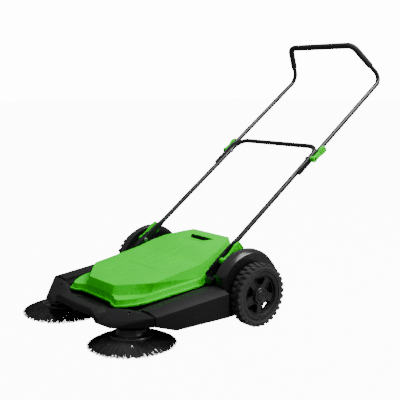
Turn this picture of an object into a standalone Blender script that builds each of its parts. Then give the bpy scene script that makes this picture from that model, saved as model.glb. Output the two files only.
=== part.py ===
"""Walk behind sweeper: two disc brushes, a roller brush, a lift-out hopper and a folding push handle.

Metres, +Z up. The machine travels towards -Y, the operator stands at +Y, and left is the operator's left, +X.
Places are measured from the wheel axle's line in Y and from the floor in Z, under one parent empty.
"""

import math

import bmesh
import bpy
from mathutils import Matrix, Vector

# ---- driving dimensions ----------------------------------------------------------------------
WHEEL_R = 0.120  # tyre radius, which is the axle's height
WHEEL_W = 0.047
WHEEL_X = 0.350  # inner face of a wheel
RIM_R = 0.092
HUB_R = 0.030
HUB_BORE_R = 0.0063
AXLE_R = 0.006
SLEEVE_R = 0.013
WINDOWS = 5

BRUSH_R = 0.158
BRUSH_X = 0.240
BRUSH_Y = -0.480
BRUSH_RING_R = 0.079
BRUSH_RING_Z = 0.044
BRUSH_DRUM_R = 0.057
BRUSH_TILT_IN = math.radians(1.6)
SPINDLE_R = 0.008
SPINDLE_TOP = 0.095
DRUM_TOP = 0.071
BEARING_Z = 0.078
BEARING_R = 0.017  # outside of the spindle's bearing

ROLLER_Y = -0.115
ROLLER_Z = 0.048
ROLLER_R = 0.044
ROLLER_CORE_R = 0.018
ROLLER_HALF = 0.240
ROLLER_SHAFT_R = 0.006

PANEL_X = 0.366  # outer face of a side skirt at its rear end
PANEL_NARROW = 0.018  # how much closer the skirts stand at the front
SKIRT_Z = 0.057
LEDGE_X = 0.305
WELL_X = 0.262
HOUSING_X = 0.338  # outer face of a wheel housing
FENDER_GAP = 0.030  # from the tyre's radius to the fender's rim
WALL = 0.004

TUBE_R = 0.0097
LEG_X = 0.2410  # lower frame's tubes
HANDLE_TILT = math.radians(35.6)
PIVOT_Y = -0.0737  # first hinge of the handle, from the axle
PIVOT_Z = 0.2383
MID_AT = 0.607  # second pivot, along the tube from the first
CROSS_AT = 0.685  # crossbar of the lower frame
BEND_AT = 1.173  # where the upper handle turns up
LAP_DOWN = 0.094  # flattened end below the second pivot
GRIP_RISE = 0.190  # from the bend to the crossbar of the grip, square to it
GRIP_HALF = 0.184
GRIP_LEAN = math.radians(94.6)
GRIP_R = 0.0145
BEND_R = 0.042
LEG_BEND_R = 0.055
BOLT_R = 0.004
LUG_HALF = 0.004  # half the thickness of the lower frame's flattened ends
LAP_HALF = 0.00325  # and of the upper handle's

LID_SLOPE = 0.16
LID_WALL = 0.003
GRIP_HOLE_HALF = 0.0717

CENTRE_R = 0.0001  # where a turned piece closes on its axis
GAP = 0.0004  # between pieces that touch
CLEAR = 0.0015  # round a turning piece
EASY = 0.005  # round a piece that lifts out

LAP_X = LEG_X + TUBE_R + GAP + LAP_HALF  # the flattened ends lie against the lower frame's outer sides
UPPER_X = LAP_X + 0.00015  # upper handle's tubes
MID_ARM_X = UPPER_X + TUBE_R + 0.001  # inner face of a middle lever's wing, past the tube
BASE_ARM_X = 0.2620

LIME = (0.045, 0.680, 0.030)
CHARCOAL = (0.072, 0.070, 0.078)
BLACK = (0.012, 0.012, 0.013)
STEEL = (0.62, 0.63, 0.64)
RUBBER = (0.022, 0.022, 0.024)

SIDES = (("left", 1), ("right", -1))
Z = Vector((0, 0, 1))


# ---- scene, collections, materials -------------------------------------------------------------
for old in list(bpy.data.objects):
    bpy.data.objects.remove(old, do_unlink=True)

PARTS = bpy.data.collections.new("walk_behind_sweeper")
CUTTERS = bpy.data.collections.new("sweeper_cutters")
bpy.context.scene.collection.children.link(PARTS)
bpy.context.scene.collection.children.link(CUTTERS)
CUTTERS.hide_render = True

FRONT_REACH = BRUSH_R - BRUSH_Y
BASE = bpy.data.objects.new("machine_frame", None)
PARTS.objects.link(BASE)


def material(name, colour, roughness, metallic=0.0):
    made = bpy.data.materials.get(name)
    if made:
        return made
    made = bpy.data.materials.new(name)
    made.use_nodes = True
    shader = made.node_tree.nodes["Principled BSDF"]
    shader.inputs["Base Color"].default_value = (*colour, 1)
    shader.inputs["Roughness"].default_value = roughness
    shader.inputs["Metallic"].default_value = metallic
    made.diffuse_color = (*colour, 1)
    return made


def green_plastic():
    return material("lime_plastic", LIME, 0.45)


def grey_plastic():
    return material("charcoal_plastic", CHARCOAL, 0.55)


def black_plastic():
    return material("black_plastic", BLACK, 0.40)


def black_paint():
    return material("black_gloss_paint", BLACK, 0.25)


def steel():
    return material("zinc_steel", STEEL, 0.30, 1.0)


def rubber():
    return material("rubber", RUBBER, 0.80)


def bristle():
    return material("black_bristle", BLACK, 0.70)


def foam():
    return material("foam_rubber", RUBBER, 0.90)


# ---- tools for shapes --------------------------------------------------------------------------
def put(name, mesh, finish, origin=(0, 0, 0), smooth=None):
    """A part from a mesh given in the machine's own places, with its origin at a joint or a centre."""
    mesh.name = name
    mesh.transform(Matrix.Translation(-Vector(origin)))
    if smooth is not None:
        mesh.shade_smooth()
        mesh.set_sharp_from_angle(angle=smooth)
    obj = bpy.data.objects.new(name, mesh)
    mesh.materials.append(finish)
    PARTS.objects.link(obj)
    obj.parent = BASE
    obj.location = origin
    return obj


def mesh_of(work):
    bmesh.ops.remove_doubles(work, verts=work.verts, dist=1e-6)
    bmesh.ops.recalc_face_normals(work, faces=work.faces)
    mesh = bpy.data.meshes.new("work")
    work.to_mesh(mesh)
    work.free()
    return mesh


def hull(points):
    """The convex solid round some points."""
    work = bmesh.new()
    verts = [work.verts.new(p) for p in points]
    made = bmesh.ops.convex_hull(work, input=verts)
    spare = {v for v in made["geom_interior"] + made["geom_unused"] if isinstance(v, bmesh.types.BMVert)}
    bmesh.ops.delete(work, geom=list(spare), context="VERTS")
    bmesh.ops.dissolve_limit(work, angle_limit=0.001, verts=work.verts, edges=work.edges)
    return mesh_of(work)


def box(low, high):
    work = bmesh.new()
    bmesh.ops.create_cube(work, size=1)
    low, high = Vector(low), Vector(high)
    bmesh.ops.scale(work, vec=high - low, verts=work.verts)
    bmesh.ops.translate(work, vec=(low + high) / 2, verts=work.verts)
    return mesh_of(work)


def loft(rings):
    """A closed solid through rings of points that have the same count, the first and last capped."""
    work = bmesh.new()
    rows = [[work.verts.new(p) for p in ring] for ring in rings]
    count = len(rows[0])
    for below, above in zip(rows, rows[1:]):
        for i in range(count):
            j = (i + 1) % count
            work.faces.new((below[i], below[j], above[j], above[i]))
    work.faces.new(list(reversed(rows[0])))
    work.faces.new(rows[-1])
    return mesh_of(work)


def both_halves(half):
    """A closed outline from its +X half, front to rear."""
    return [tuple(p) for p in half] + [(-x, y, z) for x, y, z in reversed(half)]


def cylinder(radius, start, end, sides=32):
    """A round bar between two points."""
    start, end = Vector(start), Vector(end)
    work = bmesh.new()
    bmesh.ops.create_cone(
        work,
        cap_ends=True,
        segments=sides,
        radius1=radius,
        radius2=radius,
        depth=(end - start).length,
    )
    turn = Z.rotation_difference(end - start).to_matrix().to_4x4()
    bmesh.ops.transform(work, matrix=Matrix.Translation((start + end) / 2) @ turn, verts=work.verts)
    return mesh_of(work)


def turned(profile, centre, axis, steps=40):
    """A turned solid: profile is (radius, height along the axis), down the outside and back up the inside."""
    work = bmesh.new()
    verts = [work.verts.new((r, 0, h)) for r, h in profile]
    closed = profile[0][0] > 1e-6
    edges = [work.edges.new(pair) for pair in zip(verts, verts[1:])]
    if closed:
        edges.append(work.edges.new((verts[-1], verts[0])))
    rough = bpy.data.meshes.new("profile")
    work.to_mesh(rough)
    work.free()
    obj = bpy.data.objects.new("profile", rough)
    CUTTERS.objects.link(obj)
    screw = obj.modifiers.new("turn", "SCREW")
    screw.steps = screw.render_steps = steps
    screw.use_merge_vertices = True
    screw.merge_threshold = 0.00001
    made = evaluated(obj)
    turn = Z.rotation_difference(Vector(axis)).to_matrix().to_4x4()
    made.transform(Matrix.Translation(centre) @ turn)
    return made


def evaluated(obj):
    """The object's mesh with its modifiers in it. The object goes."""
    bpy.context.view_layer.update()
    graph = bpy.context.evaluated_depsgraph_get()
    made = bpy.data.meshes.new_from_object(obj.evaluated_get(graph))
    made.transform(obj.matrix_world)
    bpy.data.objects.remove(obj, do_unlink=True)
    work = bmesh.new()
    work.from_mesh(made)
    return mesh_of(work)


def combine(base, others, operation):
    """One mesh cut by the others, or joined with them."""
    obj = bpy.data.objects.new("blank", base)
    CUTTERS.objects.link(obj)
    tools = []
    for mesh in others:
        tool = bpy.data.objects.new("tool", mesh)
        CUTTERS.objects.link(tool)
        tools.append(tool)
        step = obj.modifiers.new("step", "BOOLEAN")
        step.operation = operation
        step.object = tool
        step.solver = "EXACT"
    made = evaluated(obj)
    for tool in tools:
        bpy.data.objects.remove(tool, do_unlink=True)
    return made


def cut(base, *others):
    return combine(base, others, "DIFFERENCE")


def join(base, *others):
    return combine(base, others, "UNION")


def mirrored(mesh):
    other = mesh.copy()
    other.transform(Matrix.Scale(-1, 4, (1, 0, 0)))
    other.flip_normals()
    return other


def rounded(points, radius, steps=6):
    """A path with its inner corners turned into arcs."""
    points = [Vector(p) for p in points]
    path = [points[0]]
    for before, corner, after in zip(points, points[1:], points[2:]):
        a, b = (before - corner).normalized(), (after - corner).normalized()
        half = a.angle(b) / 2
        reach = radius / math.tan(half)
        centre = corner + (a + b).normalized() * (radius / math.sin(half))
        first, last = corner + a * reach - centre, corner + b * reach - centre
        sweep = first.angle(last)
        for i in range(steps + 1):
            t = i / steps
            spoke = (first * math.sin((1 - t) * sweep) + last * math.sin(t * sweep)) / math.sin(sweep)
            path.append(centre + spoke)
    path.append(points[-1])
    return path


def tube(path, radius, resolution=2, cyclic=False):
    """A round tube along a path, with closed ends."""
    curve = bpy.data.curves.new("tube", "CURVE")
    curve.dimensions = "3D"
    curve.bevel_depth = radius
    curve.bevel_resolution = resolution
    curve.use_fill_caps = True
    spline = curve.splines.new("POLY")
    spline.points.add(len(path) - 1)
    for point, place in zip(spline.points, path):
        point.co = (*place, 1)
    spline.use_cyclic_u = cyclic
    obj = bpy.data.objects.new("tube", curve)
    CUTTERS.objects.link(obj)
    return evaluated(obj)


def along(distance, rise=0.0, x=0.0):
    """A point beside the handle's line: distance up the tube from the base pivot, rise square to it."""
    c, s = math.cos(HANDLE_TILT), math.sin(HANDLE_TILT)
    return Vector((x, PIVOT_Y + distance * c - rise * s, PIVOT_Z + distance * s + rise * c))


def plate_along(outline, x_low, x_high):
    """A flat plate across X whose outline is given as (distance, rise) beside the handle's line."""
    return loft([[along(d, r, x) for d, r in outline] for x in (x_low, x_high)])


def arc(centre, radius, start, end, steps):
    """(y, z) points on an arc. Angles in degrees, 0 at the rear and 90 at the top."""
    spread = [math.radians(start + (end - start) * i / steps) for i in range(steps + 1)]
    return [(centre[0] + radius * math.cos(a), centre[1] + radius * math.sin(a)) for a in spread]


# ---- chassis -----------------------------------------------------------------------------------
PANEL_FRONT_Y = -0.455
PANEL_REAR_Y = -(WHEEL_R + 0.015)
FENDER_R = WHEEL_R + FENDER_GAP
CROWN_R = FENDER_R + 0.014
CROWN_X = 0.289  # inner side of the fender, outside the clamp lever's sweep
STEP_R = WHEEL_R - 0.010
AXLE = (0.0, WHEEL_R)
REAR_Y = 0.118
BUSH_R = 0.021
SEAT_R = 0.013
HOOD_Z = 0.133
CHAMBER_R = ROLLER_R + 0.008
CHAMBER_X = 0.252
BELT_R = 0.0018
DRIVE_R = 0.034
DRIVE_X = 0.283
ROLLER_DRIVE_R = 0.045
ROLLER_DRIVE_X = 0.305
ROLLER_PULLEY_R = 0.010
SPINDLE_PULLEY_R = 0.017
SPINDLE_PULLEY_Z = 0.090
GUIDE = (0.276, BRUSH_Y + 0.075)  # where a side belt's returning run straightens


def rim_z(y):
    """Height of the rim's underside: a gentle rise, a step up beside the brackets, then the rear."""
    front, knee, foot, rear = (-0.493, 0.117), (-0.146, 0.151), (-0.100, 0.178), (0.105, 0.243)
    for (y0, z0), (y1, z1) in ((front, knee), (knee, foot), (foot, rear)):
        if y <= y1:
            return z0 + (z1 - z0) * (y - y0) / (y1 - y0)
    return rear[1]


def side_box(inset=0.0, drop=0.0):
    """The skirt beside the hopper: its outer faces, or with inset its hollow."""
    front_x = PANEL_X - PANEL_NARROW
    points = []
    for y, z_low, z_edge, z_ledge, x_out in (
        (PANEL_FRONT_Y + inset, 0.086, 0.121, 0.132, front_x),
        (-0.371, SKIRT_Z, 0.126, 0.137, front_x + 0.005),
        (PANEL_REAR_Y - inset, SKIRT_Z, 0.147, 0.164, PANEL_X),
    ):
        points += [
            (x_out - inset, y, z_low - drop),
            (x_out - inset, y, z_edge - inset),
            (LEDGE_X, y, z_ledge - inset),
            (WELL_X + inset, y, z_ledge - 0.004 - inset),
            (WELL_X + inset, y, z_low - drop),
        ]
    return hull(points)


def rim_shelf():
    """The shelf that the lid's rim hangs over."""
    points = []
    for y in (PANEL_FRONT_Y + 0.002, -0.146):
        for x in (0.228, WELL_X + 0.012):
            points += [(x, y, rim_z(y) - EASY), (x, y, rim_z(y) - EASY - 0.010)]
    return hull(points)


def housing_ring(x, radius):
    top = arc(AXLE, radius, 150, 25, 14)
    low = [(PANEL_REAR_Y - 0.002, 0.046), (PANEL_REAR_Y - 0.002, 0.150)]
    back = [(REAR_Y, 0.170), (REAR_Y, 0.070), (-0.060, 0.046)]
    return [(x, y, z) for y, z in low + top + back]


def wheel_housing():
    """The rear housing beside the hopper: a low step inside, and the crowned fender outside it."""
    step = loft([housing_ring(x, STEP_R) for x in (WELL_X - 0.004, CROWN_X + 0.006)])
    rings = ((CROWN_X, CROWN_R - 0.005), (CROWN_X + 0.008, CROWN_R), (HOUSING_X - 0.014, CROWN_R - 0.005))
    fender = loft([housing_ring(x, radius) for x, radius in rings + ((HOUSING_X, FENDER_R),)])
    return join(fender, step)


def chassis_body():
    inside = cylinder(STEP_R - WALL, (WELL_X + WALL, 0, WHEEL_R), (HOUSING_X - WALL, 0, WHEEL_R), 40)
    belly = box((WELL_X + WALL, PANEL_REAR_Y + WALL, 0.0), (HOUSING_X - WALL, REAR_Y - WALL, WHEEL_R))
    passage = box((0.270, PANEL_REAR_Y - 0.015, 0.072), (0.330, PANEL_REAR_Y + 0.040, 0.148))
    gate = box((0.205, PANEL_FRONT_Y - 0.010, 0.080), (0.290, PANEL_FRONT_Y + 0.045, 0.104))
    half = join(cut(side_box(), side_box(WALL, 0.05)), cut(wheel_housing(), inside, belly), rim_shelf())
    half = cut(half, passage, gate)
    hood = box((-WELL_X - 0.002, -0.172, 0.064), (WELL_X + 0.002, REAR_Y - 0.002, HOOD_Z))
    chamber = cylinder(CHAMBER_R, (-CHAMBER_X, ROLLER_Y, ROLLER_Z), (CHAMBER_X, ROLLER_Y, ROLLER_Z), 32)
    mouth = box((-CHAMBER_X, -0.200, 0.050), (CHAMBER_X, ROLLER_Y, ROLLER_Z + 0.058))
    trough = box((-CHAMBER_X, ROLLER_Y + CHAMBER_R + 0.006, 0.0), (CHAMBER_X, REAR_Y - 0.010, HOOD_Z - WALL))
    rear_wall = box((-WELL_X - 0.003, REAR_Y - 0.0090, 0.073), (WELL_X + 0.003, REAR_Y - 0.0015, 0.232))
    body = join(half, mirrored(half), cut(hood, chamber, mouth, trough), rear_wall)
    holes = []
    for _, s in SIDES:
        near, far = s * (WELL_X - 0.02), s * (HOUSING_X + 0.02)
        holes.append(cylinder(BUSH_R + GAP, (near, 0, WHEEL_R), (far, 0, WHEEL_R)))
        seat = ((s * 0.245, ROLLER_Y, ROLLER_Z), (s * 0.275, ROLLER_Y, ROLLER_Z))
        holes.append(cylinder(SEAT_R + GAP, *seat, 24))
    put("chassis_body", cut(body, *holes), grey_plastic())


def pod(inset=0.0, drop=0.0):
    """The housing over a disc brush: its outer faces, or with inset its hollow."""
    top = ((0.134, -0.512, 0.116), (0.223, -0.5515, 0.090), (0.288, -0.499, 0.100), (0.345, -0.457, 0.121))
    top += ((0.290, -0.457, 0.124), (0.215, -0.464, 0.119))
    low = ((0.138, -0.572, 0.075), (0.228, -0.563, 0.075), (0.301, -0.498, 0.080), (0.346, -0.457, 0.086))
    low += ((0.130, -0.457, 0.080), (0.120, -0.500, 0.078))
    centre = Vector((0.230, -0.500, 0))
    points = []
    for group, fall in ((top, inset), (low, drop)):
        for x, y, z in group:
            away = Vector((x, y, 0)) - centre
            away *= (away.length - 1.6 * inset) / away.length
            points.append((centre.x + away.x, centre.y + away.y, z - fall))
    return hull(points)


COVER_SCREW = (BRUSH_X - 0.006, BRUSH_Y - 0.008, 0.1118)


def pod_covers():
    gate = box((0.205, PANEL_FRONT_Y - 0.020, 0.080), (0.285, PANEL_FRONT_Y + 0.010, 0.104))
    x, y, z = COVER_SCREW
    screw_hole = cylinder(0.0030, (x, y, 0.07), (x, y, 0.14), 16)
    spot_face = cylinder(0.0060, (x, y, z - GAP), (x, y, 0.14), 16)
    bearing_seat = cylinder(BEARING_R + 2 * GAP, brush_point(1, 0.060), brush_point(1, 0.098), 20)
    cover = cut(pod(), pod(WALL, -WALL), gate, screw_hole, spot_face, bearing_seat)
    for side, s in SIDES:
        put(f"brush_cover_{side}", cover.copy() if s > 0 else mirrored(cover), grey_plastic())


def cover_screws():
    """A pan head and its shank through each brush cover, standing on the sloped top."""
    for side, s in SIDES:
        place = Vector((s * COVER_SCREW[0], COVER_SCREW[1], COVER_SCREW[2]))
        head = [(CENTRE_R, 0.0030), (0.0035, 0.0022), (0.0045, 0.0), (0.0024, 0.0)]
        head += [(0.0024, -0.012), (CENTRE_R, -0.012)]
        put(f"cover_screw_{side}", turned(head, place, Z, 12), steel(), place, 0.6)


def front_bar():
    """The bridge between the brush covers: a flat top that turns down to a lip."""
    def section(x, back, front, high, low):
        return [
            (x, back, high),
            (x, front + 0.006, high - 0.004),
            (x, front, high - 0.012),
            (x, front - 0.003, low),
            (x, front + 0.002, low),
            (x, front + 0.005, high - 0.014),
            (x, front + 0.009, high - 0.009),
            (x, back, high - 0.005),
        ]

    spread = ((-0.132, 0.004, 0.010), (-0.110, 0.0, 0.0), (-0.050, -0.002, 0.002), (0.050, -0.002, 0.002))
    spread += ((0.110, 0.0, 0.0), (0.132, 0.004, 0.010))
    rings = [section(x, -0.5350 + y, -0.5700 + y, 0.1225 - z, 0.0960 - z) for x, y, z in spread]
    bar = cut(loft(rings), grown_pod(1), grown_pod(-1))
    put("front_bar", bar, grey_plastic())


def grown_pod(s):
    """A brush cover's outer shape with the gap that its neighbours keep."""
    shape = pod(-GAP, GAP)
    return shape if s > 0 else mirrored(shape)


GRILLE_EDGE = ((-0.5300, 0.107), (-0.5300, 0.111), (-0.462, 0.102), (-0.462, 0.098))


def front_grille():
    plate = hull([(x, y, z) for x in (-0.128, 0.128) for y, z in GRILLE_EDGE])
    slots = []
    for i in range(5):
        y = -0.523 + 0.0095 * i
        slots.append(box((-0.085, y, 0.0), (0.085, y + 0.0045, 0.2)))
    put("front_grille", cut(plate, grown_pod(1), grown_pod(-1), *slots), black_plastic())


def axle_and_bushes():
    reach = WHEEL_X + WHEEL_W - 0.0085
    middle = (0, 0, WHEEL_R)
    put("wheel_axle", cylinder(AXLE_R, (-reach, 0, WHEEL_R), (reach, 0, WHEEL_R), 20), steel(), middle, 0.6)
    ring = ((BUSH_R, 0.0), (BUSH_R, 0.0075), (SLEEVE_R + CLEAR, 0.0075), (SLEEVE_R + CLEAR, 0.0))
    for side, s in SIDES:
        place = (s * (HOUSING_X - WALL - 0.0035), 0, WHEEL_R)
        put(f"axle_bush_{side}", turned(ring[::-1], place, (s, 0, 0), 20), black_plastic(), place, 0.6)


def roller_bearings():
    ring = ((SEAT_R, 0.0), (SEAT_R, 0.012), (0.0072, 0.012), (0.0072, 0.0))
    for side, s in SIDES:
        place = (s * 0.2535, ROLLER_Y, ROLLER_Z)
        put(f"roller_bearing_{side}", turned(ring[::-1], place, (s, 0, 0), 16), black_plastic(), place, 0.6)


def dust_flap():
    flap = box((-0.245, REAR_Y - 0.0129, 0.010), (0.245, REAR_Y - 0.0104, 0.095))
    put("dust_flap", flap, rubber())


# ---- handle brackets and clamps ----------------------------------------------------------------
PLATE_X = LEG_X + LUG_HALF + 0.0005
PLATE_T = 0.0045


def bracket(s):
    outline = [(-0.088, -0.016), (-0.070, -0.020), (0.020, -0.017), (0.034, -0.010)]
    outline += [(0.036, 0.010), (0.026, 0.017), (-0.084, 0.016)]
    plate = plate_along(outline, PLATE_X, PLATE_X + PLATE_T)
    corners = [(-0.150, 0.1660), (-0.113, 0.1660), (-0.104, 0.1712), (-0.104, 0.186), (-0.150, 0.186)]
    foot = loft([[(x, y, z) for y, z in corners] for x in (PLATE_X, WELL_X + 0.022)])
    hole = cylinder(BOLT_R + GAP, along(0, 0, PLATE_X - 0.01), along(0, 0, PLATE_X + 0.02), 20)
    rivets = []
    for d in (-0.062, -0.036):
        rivets.append(cylinder(0.0028, along(d, 0, PLATE_X - 0.01), along(d, 0, PLATE_X + 0.02), 12))
    shape = cut(join(plate, foot), hole, *rivets)
    return shape if s > 0 else mirrored(shape)


def brackets():
    for side, s in SIDES:
        put(f"handle_bracket_{side}", bracket(s), black_paint())


def clamp_bolt(name, s, distance, inner_x, outer_x):
    """A hexagonal head against the tube's inner side, and a shank out to the lever."""
    centre = along(distance, 0, s * inner_x)
    head = cylinder(0.0075, along(distance, 0, s * (inner_x - 0.0055)), centre, 6)
    shank = cylinder(BOLT_R, along(distance, 0, s * (inner_x - 0.002)), along(distance, 0, s * outer_x), 20)
    put(name, join(head, shank), steel(), centre)


def lever(name, s, distance, inner_x, arm_x, outer_x, reach, fall):
    """A round boss on the bolt with a wing that widens along the tube."""
    axis = (along(distance, 0, inner_x), along(distance, 0, outer_x))
    boss = cylinder(0.0125, *axis, 24)
    wing = [(0.0, 0.0095), (0.035, 0.0085), (reach * 0.75, 0.015), (reach, 0.010)]
    wing += [(reach + 0.004, -fall * 0.72), (reach * 0.86, -fall), (reach * 0.62, -fall * 0.85)]
    wing += [(0.030, -0.0115), (0.0, -0.0105)]
    wing = [(distance + d, r) for d, r in wing]
    shape = join(boss, plate_along(wing, arm_x, outer_x - 0.002))
    depth = (along(distance, 0, inner_x - 0.002), along(distance, 0, outer_x - 0.006))
    bore = cylinder(BOLT_R + GAP, *depth, 20)
    shape = cut(shape, bore)
    put(name, shape if s > 0 else mirrored(shape), green_plastic(), along(distance, 0, s * inner_x))


# ---- handle ------------------------------------------------------------------------------------
def oval_ring(distance, x, half_x, half_r, sides=16):
    turns = [2 * math.pi * i / sides for i in range(sides)]
    return [along(distance, half_r * math.sin(t), x + half_x * math.cos(t)) for t in turns]


def lower_frame():
    leg = [along(0.070, 0, LEG_X), along(CROSS_AT, 0, LEG_X)]
    leg += [along(CROSS_AT, 0, -LEG_X), along(0.070, 0, -LEG_X)]
    frame = tube(rounded(leg, LEG_BEND_R), TUBE_R, 2)
    stations = ((-0.058, LUG_HALF, 0.0125), (-0.050, LUG_HALF, 0.0145))
    stations += ((0.040, LUG_HALF, 0.0145), (0.065, 0.0060, 0.0120))
    stations += ((0.100, TUBE_R - 0.0003, TUBE_R - 0.0003),)
    lugs = []
    for _, s in SIDES:
        lug = loft([oval_ring(d, s * LEG_X, hx, hr) for d, hx, hr in stations])
        near, far = s * (LEG_X - 0.02), s * (LEG_X + 0.02)
        hole = cylinder(BOLT_R + GAP, along(0, 0, near), along(0, 0, far), 20)
        lugs.append(cut(lug, hole))
    ends = join(frame, *lugs)
    holes = [
        cylinder(BOLT_R + GAP, along(MID_AT, 0, s * (LEG_X - 0.02)), along(MID_AT, 0, s * (LEG_X + 0.02)), 20)
        for _, s in SIDES
    ]
    put("lower_frame_tube", cut(ends, *holes), black_paint(), along(0), 0.6)


def handle_path(start):
    bend_up = Vector((BEND_AT + GRIP_RISE * math.cos(GRIP_LEAN), GRIP_RISE * math.sin(GRIP_LEAN)))
    points = [along(start, 0, UPPER_X), along(BEND_AT, 0, UPPER_X), along(*bend_up, GRIP_HALF)]
    return points + [Vector((-p.x, p.y, p.z)) for p in reversed(points)]


def upper_handle():
    handle = tube(rounded(handle_path(MID_AT + 0.060), BEND_R), TUBE_R, 2)
    stations = ((-LAP_DOWN, LAP_X, LAP_HALF, 0.0105), (0.030, LAP_X, LAP_HALF, 0.0120))
    stations += ((0.080, UPPER_X, TUBE_R - 0.0003, TUBE_R - 0.0003),)
    laps = []
    for _, s in SIDES:
        lap = loft([oval_ring(MID_AT + d, s * x, hx, hr) for d, x, hx, hr in stations])
        near, far = s * (LAP_X - 0.02), s * (LAP_X + 0.02)
        hole = cylinder(BOLT_R + GAP, along(MID_AT, 0, near), along(MID_AT, 0, far), 20)
        laps.append(cut(lap, hole))
    put("upper_handle_tube", join(handle, *laps), black_paint(), along(MID_AT), 0.6)


def foam_grip():
    """A foam sleeve on the top of the handle, with the tube's own path through it."""
    path = handle_path(0)
    foot, corner = path[1], path[2]
    start = foot.lerp(corner, 0.37)
    far = [Vector((-p.x, p.y, p.z)) for p in (corner, start)]
    sleeve = tube(rounded([start, corner] + far, BEND_R), GRIP_R, 2)
    lead = foot.lerp(corner, 0.20)
    core = tube(rounded([lead, corner, far[0], Vector((-lead.x, lead.y, lead.z))], BEND_R), TUBE_R + GAP, 2)
    put("foam_grip", cut(sleeve, core), foam(), path[2], 0.6)


# ---- hopper ------------------------------------------------------------------------------------
def inset(half, amount):
    """An outline's +X half moved inwards, each point along the mean of its two edges' normals."""
    whole = [(-half[0][0], half[0][1])] + [p[:2] for p in half] + [(-half[-1][0], half[-1][1])]
    moved = []
    for before, point, after in zip(whole, whole[1:], whole[2:]):
        normals = []
        for (x0, y0), (x1, y1) in ((before, point), (point, after)):
            normals.append(Vector((-(y1 - y0), x1 - x0)).normalized())
        mean = (normals[0] + normals[1]).normalized()
        reach = min(amount / max(mean.dot(normals[0]), 0.5), 1.6 * amount)
        moved.append((point[0] + mean.x * reach, point[1] + mean.y * reach))
    return moved


RIM = ((0.070, -0.475), (0.100, -0.477), (0.125, -0.490), (0.155, -0.493), (0.180, -0.470), (0.205, -0.430))
RIM += ((0.215, -0.395), (0.236, -0.150), (0.226, -0.105), (0.205, -0.020), (0.165, 0.060), (0.125, 0.105))
CROWN_BASE = ((0.078, -0.463), (0.090, -0.461), (0.100, -0.455), (0.115, -0.445), (0.140, -0.420))
CROWN_BASE += ((0.168, -0.385), (0.190, -0.355), (0.212, -0.150), (0.205, -0.105), (0.185, -0.020))
CROWN_BASE += ((0.150, 0.050), (0.115, 0.094))
CROWN = ((0.080, -0.449), (0.087, -0.446), (0.105, -0.431), (0.125, -0.415), (0.150, -0.394), (0.178, -0.370))
CROWN += ((0.198, -0.352), (0.200, -0.135), (0.195, -0.095), (0.175, -0.020), (0.145, 0.045), (0.111, 0.092))
RIM_T = 0.006
TIER = 0.024


def crown_z(y):
    """Height of the lid's top: a slope of LID_SLOPE, steeper behind the knee, then nearly level."""
    knee_y, knee_z = -0.1345, 0.2256
    if y <= knee_y:
        return knee_z + LID_SLOPE * (y - knee_y)
    if y <= -0.040:
        return knee_z + 0.0314 * (y - knee_y) / (-0.040 - knee_y)
    return 0.257 + 0.20 * (y + 0.040)


def skin(rings):
    """An open surface through half outlines, mirrored, its top closed by strips from side to side."""
    work = bmesh.new()
    rows = [[work.verts.new(p) for p in both_halves(half)] for half in rings]
    count = len(rows[0])
    for below, above in zip(rows, rows[1:]):
        for i in range(count):
            j = (i + 1) % count
            work.faces.new((below[i], below[j], above[j], above[i]))
    top = rows[-1]
    for i in range(count // 2 - 1):
        work.faces.new((top[i], top[i + 1], top[count - 2 - i], top[count - 1 - i]))
    return work, rows[0]


def lid_rings(wall):
    """Rings from the rim's underside to the crown, or with a wall those of the inside."""
    lift = [rim_z(y) for _, y in RIM]
    base_z = [z + TIER + 0.002 for z in lift]
    crown = [crown_z(y) for _, y in CROWN]
    if not wall:
        return [
            [(x, y, z) for (x, y), z in zip(RIM, lift)],
            [(x, y, z + RIM_T) for (x, y), z in zip(RIM, lift)],
            [(x, y, z + RIM_T) for (x, y), z in zip(inset(RIM, 0.009), lift)],
            [(x, y, z + TIER) for (x, y), z in zip(inset(RIM, 0.013), lift)],
            [(x, y, z) for (x, y), z in zip(CROWN_BASE, base_z)],
            [(x, y, z) for (x, y), z in zip(CROWN, crown)],
        ]
    return [
        [(x, y, z) for (x, y), z in zip(inset(RIM, 0.009 + wall), lift)],
        [(x, y, z + TIER - wall) for (x, y), z in zip(inset(RIM, 0.013 + wall), lift)],
        [(x, y, z - wall) for (x, y), z in zip(inset(CROWN_BASE, wall), base_z)],
        [(x, y, z - wall) for (x, y), z in zip(inset(CROWN, wall), crown)],
    ]


def hopper_lid():
    outer, rim_outer = skin(lid_rings(0))
    inner, _ = skin(lid_rings(LID_WALL))
    shell = bpy.data.meshes.new("inner")
    inner.to_mesh(shell)
    inner.free()
    outer.from_mesh(shell)
    edge = [e for e in outer.edges if e.is_boundary]
    bmesh.ops.bridge_loops(outer, edges=edge)
    bmesh.ops.triangulate(outer, faces=[f for f in outer.faces if len(f.verts) > 3])
    lid = mesh_of(outer)
    hole = hull([(x, y, z) for x, y in GRIP_HOLE for z in (0.20, 0.34)])
    put("hopper_lid", cut(lid, hole), green_plastic())


GRIP_HOLE = ((GRIP_HOLE_HALF, 0.047), (-GRIP_HOLE_HALF, 0.047), (-0.042, 0.016), (0.042, 0.016))
POCKET_FLOOR = 0.222


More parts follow.
